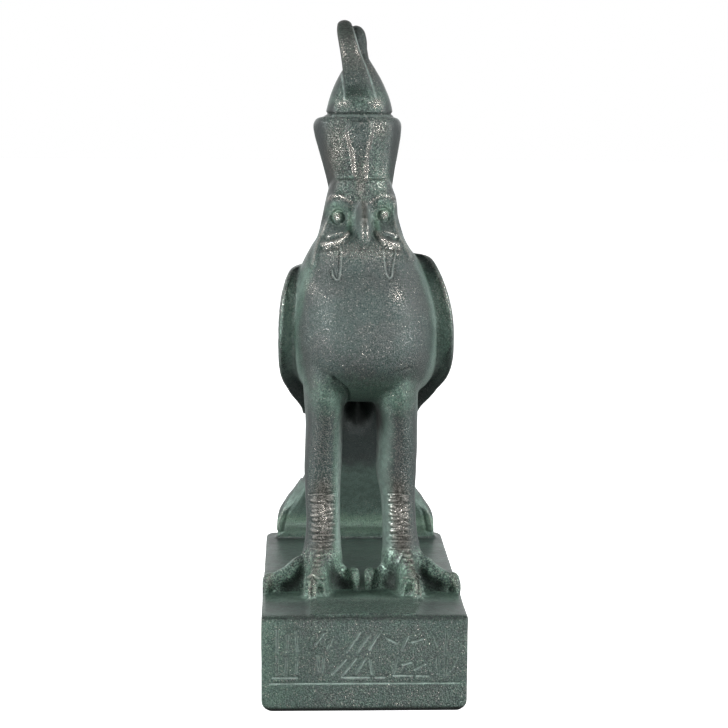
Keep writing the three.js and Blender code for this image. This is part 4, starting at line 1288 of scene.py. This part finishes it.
def pale_places(points, normals):
    """Where the finish is pale. Painted light: the channels, the tail's face and its foot and the
    legs' inner sides lie in shade and are painted pale as if lit; the edge down the curl's front
    and the short one beside its foot are painted highlight lines. Also pale: the line under the
    bulb, the wings' edges beside the channels, the plinth near the claws, the face, the crusted
    stripes, the breast's right edge, the ridges of the outer and inner toes, and the ridges beside
    the tail."""
    x, y, z = points.T
    side, out, past = np.abs(x), leg_middle(points), past_edge(x, z, BREAST_EDGE)
    # Painted light: the channels lie in shade and are painted pale as if lit.
    channel = np.where(x < 0, 0.5, 0.32) + 0.2 * rise(104, 92, z)
    channel *= span(past, -1.5, 0.5, 3.0, 5.5) * span(z, 74, 90, 122, 132)
    # Painted light: the tail's face and foot lie in shade and are painted pale as if lit.
    on_tail = tail_face(y, normals)
    foot_of_tail = 0.62 + 0.2 * rise(-8, -24, x) - 0.3 * rise(10, 24, x)
    # Painted light: the legs' inner sides lie in shade and are painted pale as if lit.
    inner = np.where(x < 0, 0.8 * rise(-4.0, -7.0, out), 0.30 * rise(-1.0, -4.5, out))
    inner *= rise(-12, -9.5, out) * span(z, 12, 20, 70, 78) * (y < -2)
    near_claws = (z > -0.5) * (z < 1.7) * ridge(y + 45, 9) * fall(30, 36, side)
    right_edge = ridge(x - np.interp(z, *PALE_EDGE), 2.0)
    lines = [
        # Painted highlights: pale lines along the curl's edges.
        1.3 * ridge(line_distance(x, z, STRAP_LINES[0]), 0.75) * (y < -6),
        1.0 * ridge(line_distance(x, z, STRAP_LINES[1]), 0.6) * (y < -6),
        0.8 * ridge(z - 191.4, 0.7) * (y < -14) * (np.abs(x + 1) < 13),
        channel * rise(-8, -18, y),
        0.3 * ridge(past - 6.6, 1.3) * span(z, 76, 82, 104, 114) * rise(0, -10, y),
        0.32 * on_tail * rise(0.5, 2.0, z),
        foot_of_tail * on_tail * ridge(z - 6.5, 5.5),
        0.32 * near_claws,
        0.13 * ridge(z - 151, 10) * (side < 15) * (y < -16),
        inner,
        0.5 * right_edge * span(z, 84, 92, 130, 136) * (y < -14),
    ]
    near = near_points(points, *STRIPE_BOX)
    line = np.zeros(len(points))  # holds the stripes and the tail's ridges, which lie far apart
    for stripe in STRIPES:
        found = 0.42 * ridge(line_distance(x[near], z[near], stripe), 0.5)
        line[near] = np.maximum(line[near], found)
    near = near_points(points, (-40, 28, 2), (40, 60, 32))
    from_ridge = line_distance(-side[near], z[near], TAIL_RIDGE)
    line[near] = 0.5 * ridge(from_ridge, 0.8) * (normals[near, 1] < 0.4)
    lines.append(line)
    for places in (LEFT_FOOT, RIGHT_FOOT):
        for name, strength in (("outer", 0.8), ("inner", 0.4)):
            start, end, _ = (np.array(place) for place in places[name])
            run = end - start
            share = ((x - start[0]) * run[0] + (y - start[1]) * run[1]) / (run @ run)
            aside = ((x - start[0]) * run[1] - (y - start[1]) * run[0]) / np.hypot(*run)
            on_toe = rise(0.30, 0.45, share) * (share < 1.2)
            high_up = (z > 4) * fall(10.5, 14, z)
            lines.append(strength * ridge(aside, 0.9) * on_toe * high_up)
    return np.maximum.reduce(lines)


def wear_and_highlight_places(points):
    """Where the metal shows bright. Worn bright: brows, eyes, lids, cheek ledges, the beak's tip,
    the shin plates, the middle claws, the inner toes' knuckles and the hood's edges and foot.
    Painted highlights: the curl's two bands, the bulb's shoulders and the glints. Specks lie
    thinly on the breast, the thighs, the cap's front and the wings' front edges; those on the
    cap's front are painted highlights."""
    x, y, z = points.T
    head, breast, out = y < -14, y < -16, leg_middle(points)
    found = []
    for (ex, ez), brow, cheek, lid in zip(EYES, BROWS, CHEEKS, LOWER_LIDS):
        found += [
            np.minimum(1.8 * spot(x - ex, z - ez, 2.2), 1.3) * head,
            0.7 * ridge(line_distance(x, z, brow), 1.5) * head,
            ridge(line_distance(x, z, cheek), 1.7) * head,
            0.7 * ridge(line_distance(x, z, lid), 0.8) * head,
        ]
    # The specks on the cap's front below are painted highlights.
    found += [  # specks
        0.42 * rise(26, 30, np.abs(x - BREAST_MIDDLE)) * ridge(z - 122, 20)
        * rise(-14, -22, y),
        0.5 * ridge(z - 139, 7) * fall(14, 18, np.abs(x)) * (y < -26),
        0.44 * ridge(x + 10, 7) * ridge(z - 180, 15) * (y < -10),
        0.45 * ridge(x - 5, 8) * ridge(z - 187, 6) * (y < -10),
        0.45 * ridge(x - 8, 5) * ridge(z - 168, 16) * (y < -10),
        0.28 * ridge(out, 8) * (z > 40) * (z < 76) * (y < -24),
    ]
    # Painted highlights: the glints.
    found += [0.5 * spot(x - gx, (z - gz) / 1.3, size) * breast for gx, gz, size in GLINTS]
    found += [np.minimum(1.5 * ridge(line_distance(x, z, line), width), most) * (y < -22)
              for line, width, most in HOOD_LINES]
    # Painted highlights: the bulb's shoulders.
    found += [0.85 * weight * spot((x - bx) / 1.3, z - 196.6, 4.2) * (y < -8)
              for bx, weight in BULB_SHOULDERS]
    claw_zone = (z < 6.4) * (z > 0.9)
    found += [0.4 * ridge(np.abs(x - tip[0]) - 1.1, 1.0) * (y < end[1] - 0.5) * claw_zone
              for _, end, tip in (LEFT_FOOT["middle"], RIGHT_FOOT["middle"])]
    from_curl = np.abs(x - np.interp(z, *CURL_MIDDLE)) - 2.6
    found += [
        ridge(np.abs(x - 0.5) - 0.9, 0.8) * ridge(z - 145.5, 5.0) * (y < -30),
        0.68 * ridge(out, 6.0) * ridge(z - 30, 16) * (y < -26) * (y > -36),
        0.5 * ridge(x + 1.2, 2.6) * ridge(z - 164, 10) * (y < -20),
        # Painted highlights: the curl's two bands.
        0.85 * ridge(from_curl, 1.3) * ridge(z - 217, 7) * (y < -14),
        0.24 * spot(np.abs(x) - 3.4, z - 5.0, 3.2) * (y < -27) * (y > -36),
    ]
    return np.maximum.reduce(found)


# Materials

WHITE = (1.0, 1.0, 1.0, 1.0)
BLACK = (0.0, 0.0, 0.0, 1.0)
FLOOR_SEEN, FLOOR_AS_LIGHT = (0.93, 0.93, 0.93, 1.0), (0.30, 0.30, 0.30, 1.0)


def node_group(name, inputs, outputs):
    """An empty shader node group with named sockets: (name, kind, default) for each."""
    group = bpy.data.node_groups.new(name, "ShaderNodeTree")
    for in_out, sockets in (("INPUT", inputs), ("OUTPUT", outputs)):
        for label, kind, default in sockets:
            socket = group.interface.new_socket(
                label, in_out=in_out, socket_type="NodeSocket" + kind)
            if default is not None:
                socket.default_value = default
    return group, group.nodes.new("NodeGroupInput"), group.nodes.new("NodeGroupOutput")


class Wiring:
    """Short calls for the nodes of one tree."""

    def __init__(self, tree):
        self.tree = tree

    def node(self, kind, settings=None, **inputs):
        """A node with its settings and inputs. An input is named by its label, with _ for a
        space, or as i0, i1 and so on by its place."""
        made = self.tree.nodes.new("ShaderNode" + kind)
        for key, value in (settings or {}).items():
            setattr(made, key, value)
        for key, value in inputs.items():
            by_place = key[0] == "i" and key[1:].isdigit()
            self.feed(made.inputs[int(key[1:]) if by_place else key.replace("_", " ")], value)
        return made

    def feed(self, socket, value):
        if isinstance(value, bpy.types.NodeSocket):
            self.tree.links.new(value, socket)
        else:
            socket.default_value = value

    def math(self, operation, a, b):
        return self.node("Math", {"operation": operation}, i0=a, i1=b).outputs[0]

    def times(self, first, *others):
        for other in others:
            first = self.math("MULTIPLY", first, other)
        return first

    def plus(self, a, b):
        return self.math("ADD", a, b)

    def minus(self, a, b):
        return self.math("SUBTRACT", a, b)

    def larger(self, a, b):
        return self.math("MAXIMUM", a, b)

    def ramp(self, value, low, high, out_low=0.0, out_high=1.0):
        """Value taken from low..high to out_low..out_high by a smooth step."""
        made = self.node("MapRange", {"interpolation_type": "SMOOTHSTEP"}, Value=value,
                         From_Min=low, From_Max=high)
        made.inputs["To Min"].default_value = out_low
        made.inputs["To Max"].default_value = out_high
        return made.outputs["Result"]

    def mix(self, share, a, b, blend="MIX"):
        made = self.node("Mix", {"data_type": "RGBA", "blend_type": blend, "clamp_factor": True},
                         i0=share, i6=a, i7=b)
        return made.outputs[2]

    def attribute(self, name):
        return self.node("Attribute", {"attribute_name": name}).outputs["Fac"]


def flake_group():
    """Bright flakes in the patina: cells of a Voronoi pattern, each bright by its own chance."""
    group, source, sink = node_group(
        "metal_flakes",
        [("Vector", "Vector", None), ("Flakes per metre", "Float", 1900.0),
         ("Share", "Float", 0.15)],
        [("Flakes", "Float", None)])
    w = Wiring(group)
    cells = w.node("TexVoronoi", {"feature": "F1"}, Vector=source.outputs["Vector"],
                   Scale=source.outputs["Flakes per metre"])
    chance = w.node("SeparateColor", Color=cells.outputs["Color"])
    threshold = w.minus(1.0, source.outputs["Share"])
    chosen = w.math("GREATER_THAN", chance.outputs[0], threshold)
    round_cell = w.ramp(cells.outputs["Distance"], 0.6, 0.2)
    strength = w.ramp(chance.outputs[1], 0.0, 1.0, 0.2, 1.0)
    w.feed(sink.inputs["Flakes"], w.times(chosen, round_cell, strength))
    return group


def cloud_group():
    """Noise at four sizes, each brought to 0..1: broad clouds, blotches a few millimetres wide,
    spots under a millimetre wide, and the grain of the patina at about half a millimetre."""
    group, source, sink = node_group(
        "patina_clouds",
        [("Vector", "Vector", None), ("Clouds per metre", "Float", 70.0),
         ("Grains per metre", "Float", 1800.0)],
        [(name, "Float", None) for name in ("Clouds", "Blotches", "Spots", "Grain")])
    w = Wiring(group)
    scale = source.outputs["Clouds per metre"]
    for name, size, detail, roughness, low, high in (
            ("Clouds", scale, 4.0, 0.6, 0.35, 0.65),
            ("Blotches", w.times(scale, 5.0), 4.0, 0.65, 0.35, 0.65),
            ("Spots", w.times(scale, 17.0), 3.0, 0.7, 0.33, 0.67),
            ("Grain", source.outputs["Grains per metre"], 2.0, 0.65, 0.34, 0.66)):
        noise = w.node("TexNoise", Vector=source.outputs["Vector"], Scale=size, Detail=detail,
                       Roughness=roughness)
        w.feed(sink.inputs[name], w.ramp(noise.outputs["Fac"], low, high))
    return group


def patinated_bronze(colours):
    """Slate-green patina over bronze: clouded, grained light and dark, burnished to a purple grey
    on smooth places, green in the marked places and creases and painted green as light where
    shaded, brown where it is thin, painted dark as shade in the deepest hollows and the places
    marked dark, worn bright on edges and marked spots, some of them painted highlights, pale
    along crusted marked lines and painted pale as if lit in shaded places, with a painted pale
    sheen where the skin turns away, and with bright flakes all over."""
    material = bpy.data.materials.new("patinated_bronze")
    material.use_nodes = True
    tree = material.node_tree
    shader = tree.nodes["Principled BSDF"]
    w = Wiring(tree)
    place = w.node("TexCoord").outputs["Object"]
    clouds = w.node("Group", {"node_tree": cloud_group()}, Vector=place)
    flakes = w.node("Group", {"node_tree": flake_group()}, Vector=place).outputs["Flakes"]
    broad, blotches, spots, grain = (
        clouds.outputs[name] for name in ("Clouds", "Blotches", "Spots", "Grain"))
    green, hollow, smooth, dark, mottled = (
        w.attribute(name) for name in ("green", "hollow", "smooth", "dark", "mottled"))
    rough = w.minus(1.0, smooth)
    uneven_grain, uneven_blotches = w.minus(grain, 0.5), w.minus(blotches, 0.5)

    def rgb(name):
        return (*getattr(colours, name), 1.0)

    clouded = w.ramp(w.plus(w.times(broad, 0.35), w.times(grain, 0.65)), 0.2, 0.8)
    patches = w.ramp(w.plus(green, w.times(uneven_blotches, 0.18)), 0.08, 0.75)
    thick = w.ramp(w.plus(green, w.times(blotches, 0.12)), 0.62, 1.1)
    base = rgb("slate")
    for share, name in (
            (clouded, "umber"),
            (w.times(smooth, 0.75), "plum"),
            (w.larger(patches, w.ramp(hollow, 0.10, 0.6, 0.0, 0.6)), "verdigris"),
            (thick, "pale_verdigris"),
            (w.times(w.attribute("brown"), 0.7), "brown"),
            (w.times(mottled, w.ramp(spots, 0.52, 0.85, 0.0, 0.42)), "pale_verdigris"),
            (w.times(mottled, w.ramp(spots, 0.42, 0.12, 0.0, 0.62)), "dark_patina_and_shade"),
            # Painted shade: the deepest hollows are darkened.
            (w.ramp(hollow, 0.55, 1.0, 0.0, 0.7), "dark_patina_and_shade"),
            (w.times(w.attribute("line"), 0.35), "dark_patina_and_shade"),
            # Painted shade: the places marked dark.
            (w.times(dark, 0.97), "dark_patina_and_shade")):
        base = w.mix(share, base, rgb(name))
    contrast = w.plus(w.times(rough, 0.62), 0.10)
    shade = w.plus(0.96, w.times(uneven_grain, contrast))
    base = w.mix(1.0, base, shade, "MULTIPLY")

    edge = w.times(w.ramp(w.attribute("wear"), 0.25, 0.9), w.ramp(grain, 0.1, 0.8, 0.45, 1.0))
    # The rubbed places include painted highlights, and `worn` and `bright` carry them.
    rubbed_and_highlight = w.ramp(w.plus(w.attribute("rubbed_and_highlight"), w.times(uneven_grain, 0.9)), 0.38, 1.05)
    worn = w.larger(w.times(edge, 0.35), w.times(rubbed_and_highlight, 0.8))
    flake = w.times(flakes, rough, w.ramp(broad, 0.0, 1.0, 0.4, 0.8))
    clean = w.minus(1.0, dark)
    bright = w.times(w.larger(worn, flake), clean)
    # Painted sheen: the colour turns pale where the skin is seen at a grazing angle.
    painted_rim = w.ramp(w.node("LayerWeight", Blend=0.5).outputs["Facing"], 0.72, 1.0, 0.0, 0.55)
    crust_and_painted_light = w.times(w.larger(w.attribute("pale"), painted_rim), clean,
                    w.ramp(blotches, 0.1, 0.8, 0.55, 0.9))
    base = w.mix(crust_and_painted_light, base, rgb("crust_and_painted_light"))

    w.feed(shader.inputs["Base Color"], w.mix(bright, base, rgb("bare_and_highlight")))
    w.feed(shader.inputs["Metallic"], w.ramp(bright, 0.0, 0.8, 0.45, 0.95))
    w.feed(shader.inputs["Roughness"],
           w.ramp(w.plus(bright, w.times(grain, 0.3)), 0.0, 1.0, 0.40, 0.24))
    height = w.plus(w.times(grain, w.plus(w.times(rough, 0.9), 0.10)), w.times(blotches, 0.4))
    bump = w.node("Bump", Strength=0.75, Distance=0.2 * MM, Height=height)
    w.feed(shader.inputs["Normal"], bump.outputs["Normal"])
    return material


def floor_finish():
    """Pale floor. The camera sees it a little brighter than it lights the figure."""
    material = bpy.data.materials.new("studio_floor")
    material.use_nodes = True
    shader = material.node_tree.nodes["Principled BSDF"]
    w = Wiring(material.node_tree)
    seen = w.node("LightPath").outputs["Is Camera Ray"]
    w.feed(shader.inputs["Base Color"], w.mix(seen, FLOOR_AS_LIGHT, FLOOR_SEEN))
    w.feed(shader.inputs["Emission Color"], w.mix(seen, BLACK, WHITE))
    shader.inputs["Emission Strength"].default_value = 0.9
    shader.inputs["Roughness"].default_value = 0.8
    return material


# Operators

class FALCON_OT_cast_figure(bpy.types.Operator):
    """Models the falcon and its plinth as one casting"""

    bl_idname = "falcon.cast_figure"
    bl_label = "Cast figure"

    def execute(self, context):
        sizes = context.scene.falcon_sizes
        plinth_height = sizes.plinth_height / MM
        low, high = np.array(CAD_LOW) / MM, np.array(CAD_HIGH) / MM
        voxel = sizes.voxel
        mesh = joined_skin(all_forms(low, high, sizes), voxel)
        fill_creases(mesh)
        centres = face_centres(mesh)
        plinth_front = ((-40, low[1] - 1, -plinth_height), (40, low[1] + 2.2, 0))
        mesh = refined(mesh, np.any(
            [within(centres, *box) for box in (*DETAILED, plinth_front)], axis=0))
        carve(mesh, low, high, sizes)
        mesh = thinned(mesh, sizes.triangles, finest(mesh, low, high, plinth_height))
        mark_wear(mesh, low, high, plinth_height)
        points = points_of(mesh)
        points[:, 2] += plinth_height
        set_points(mesh, np.clip(points, low, high))
        mesh.polygons.foreach_set("use_smooth", np.ones(len(mesh.polygons), bool))
        piece = bpy.data.objects.new("falcon_casting", mesh)
        context.scene.collection.objects.link(piece)
        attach(piece, "root")
        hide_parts(CAD_NODE)
        return {"FINISHED"}


class FALCON_OT_patinate(bpy.types.Operator):
    """Gives the casting its patina"""

    bl_idname = "falcon.patinate"
    bl_label = "Patinate"

    def execute(self, context):
        material = patinated_bronze(context.scene.falcon_colours)
        bpy.data.objects["falcon_casting"].data.materials.append(material)
        return {"FINISHED"}


class FALCON_OT_set_stage(bpy.types.Operator):
    """Adds the floor, the lights and the camera"""

    bl_idname = "falcon.set_stage"
    bl_label = "Set stage"

    def execute(self, context):
        scene = context.scene
        square = np.array([[-1, -1, 0], [1, -1, 0], [1, 1, 0], [-1, 1, 0]], float) * FLOOR_HALF
        floor = bpy.data.objects.new("floor", mesh_from("floor", square, [0, 1, 2, 3], [4]))
        floor.data.materials.append(floor_finish())
        scene.collection.objects.link(floor)
        add_world(scene)
        for light in LIGHTS:
            add_light(scene, *light)
        add_camera(scene)
        scene.view_settings.view_transform = "Standard"
        return {"FINISHED"}


def add_world(scene):
    """White all round as the camera sees it. As light it is a white backdrop far behind the figure
    in a dim studio."""
    world = bpy.data.worlds.new("studio")
    world.use_nodes = True
    scene.world = world
    w = Wiring(world.node_tree)
    background = world.node_tree.nodes["Background"]
    direction = w.node("SeparateXYZ", i0=w.node("TexCoord").outputs["Generated"])
    dim = w.ramp(direction.outputs["Z"], 0.1, 0.9, 0.22, 0.12)
    behind = w.math("MAXIMUM", dim, w.ramp(direction.outputs["Y"], 0.35, 0.90, 0.0, 1.0))
    seen = w.node("LightPath").outputs["Is Camera Ray"]
    w.feed(background.inputs["Strength"], w.math("MAXIMUM", seen, behind))
    background.inputs["Color"].default_value = WHITE


def add_light(scene, name, place, size, power):
    data = bpy.data.lights.new(name, "AREA")
    data.shape = "DISK"
    data.size = size
    data.energy = power
    light = bpy.data.objects.new(name, data)
    light.location = place
    towards = Vector(np.array(LIGHT_TARGET) - np.array(place))
    light.rotation_euler = towards.to_track_quat("-Z", "Y").to_euler()
    scene.collection.objects.link(light)


def add_camera(scene):
    """The photograph's view: its focal length in pixels, place and turn."""
    yaw, pitch, roll = (math.radians(angle) for angle in CAMERA_TURN)
    ahead = np.array([
        math.sin(yaw) * math.cos(pitch), math.cos(yaw) * math.cos(pitch), -math.sin(pitch)])
    level = np.array([math.cos(yaw), -math.sin(yaw), 0.0])
    above = np.cross(level, ahead)
    right = math.cos(roll) * level + math.sin(roll) * above
    up = -math.sin(roll) * level + math.cos(roll) * above
    data = bpy.data.cameras.new("camera")
    data.sensor_width = SENSOR
    data.lens = FOCAL_PIXELS / IMAGE_SIDE * SENSOR
    camera = bpy.data.objects.new("camera", data)
    turn = np.eye(4)
    turn[:3, :3] = np.column_stack([right, up, -ahead])
    turn[:3, 3] = np.array(CAMERA_PLACE) * MM
    camera.matrix_world = Matrix(turn.tolist())
    scene.collection.objects.link(camera)
    scene.camera = camera


class FALCON_PT_panel(bpy.types.Panel):
    """Lists the steps and their settings."""

    bl_label = "Horus falcon figure"
    bl_idname = "FALCON_PT_panel"
    bl_space_type = "VIEW_3D"
    bl_region_type = "UI"
    bl_category = "Falcon"

    def draw(self, context):
        layout = self.layout
        for step in STEPS:
            layout.operator(step.bl_idname)
        for settings in (context.scene.falcon_sizes, context.scene.falcon_colours):
            for name in settings.__annotations__:
                layout.prop(settings, name)


STEPS = (FALCON_OT_cast_figure, FALCON_OT_patinate, FALCON_OT_set_stage)
CLASSES = (FigureSizes, FinishColours, *STEPS, FALCON_PT_panel)


def register():
    for cls in CLASSES:
        bpy.utils.register_class(cls)
    bpy.types.Scene.falcon_sizes = bpy.props.PointerProperty(type=FigureSizes)
    bpy.types.Scene.falcon_colours = bpy.props.PointerProperty(type=FinishColours)


def unregister():
    del bpy.types.Scene.falcon_sizes
    del bpy.types.Scene.falcon_colours
    for cls in reversed(CLASSES):
        bpy.utils.unregister_class(cls)


def main():
    register()
    bpy.ops.falcon.cast_figure()
    bpy.ops.falcon.patinate()
    bpy.ops.falcon.set_stage()


if __name__ == "__main__":
    main()
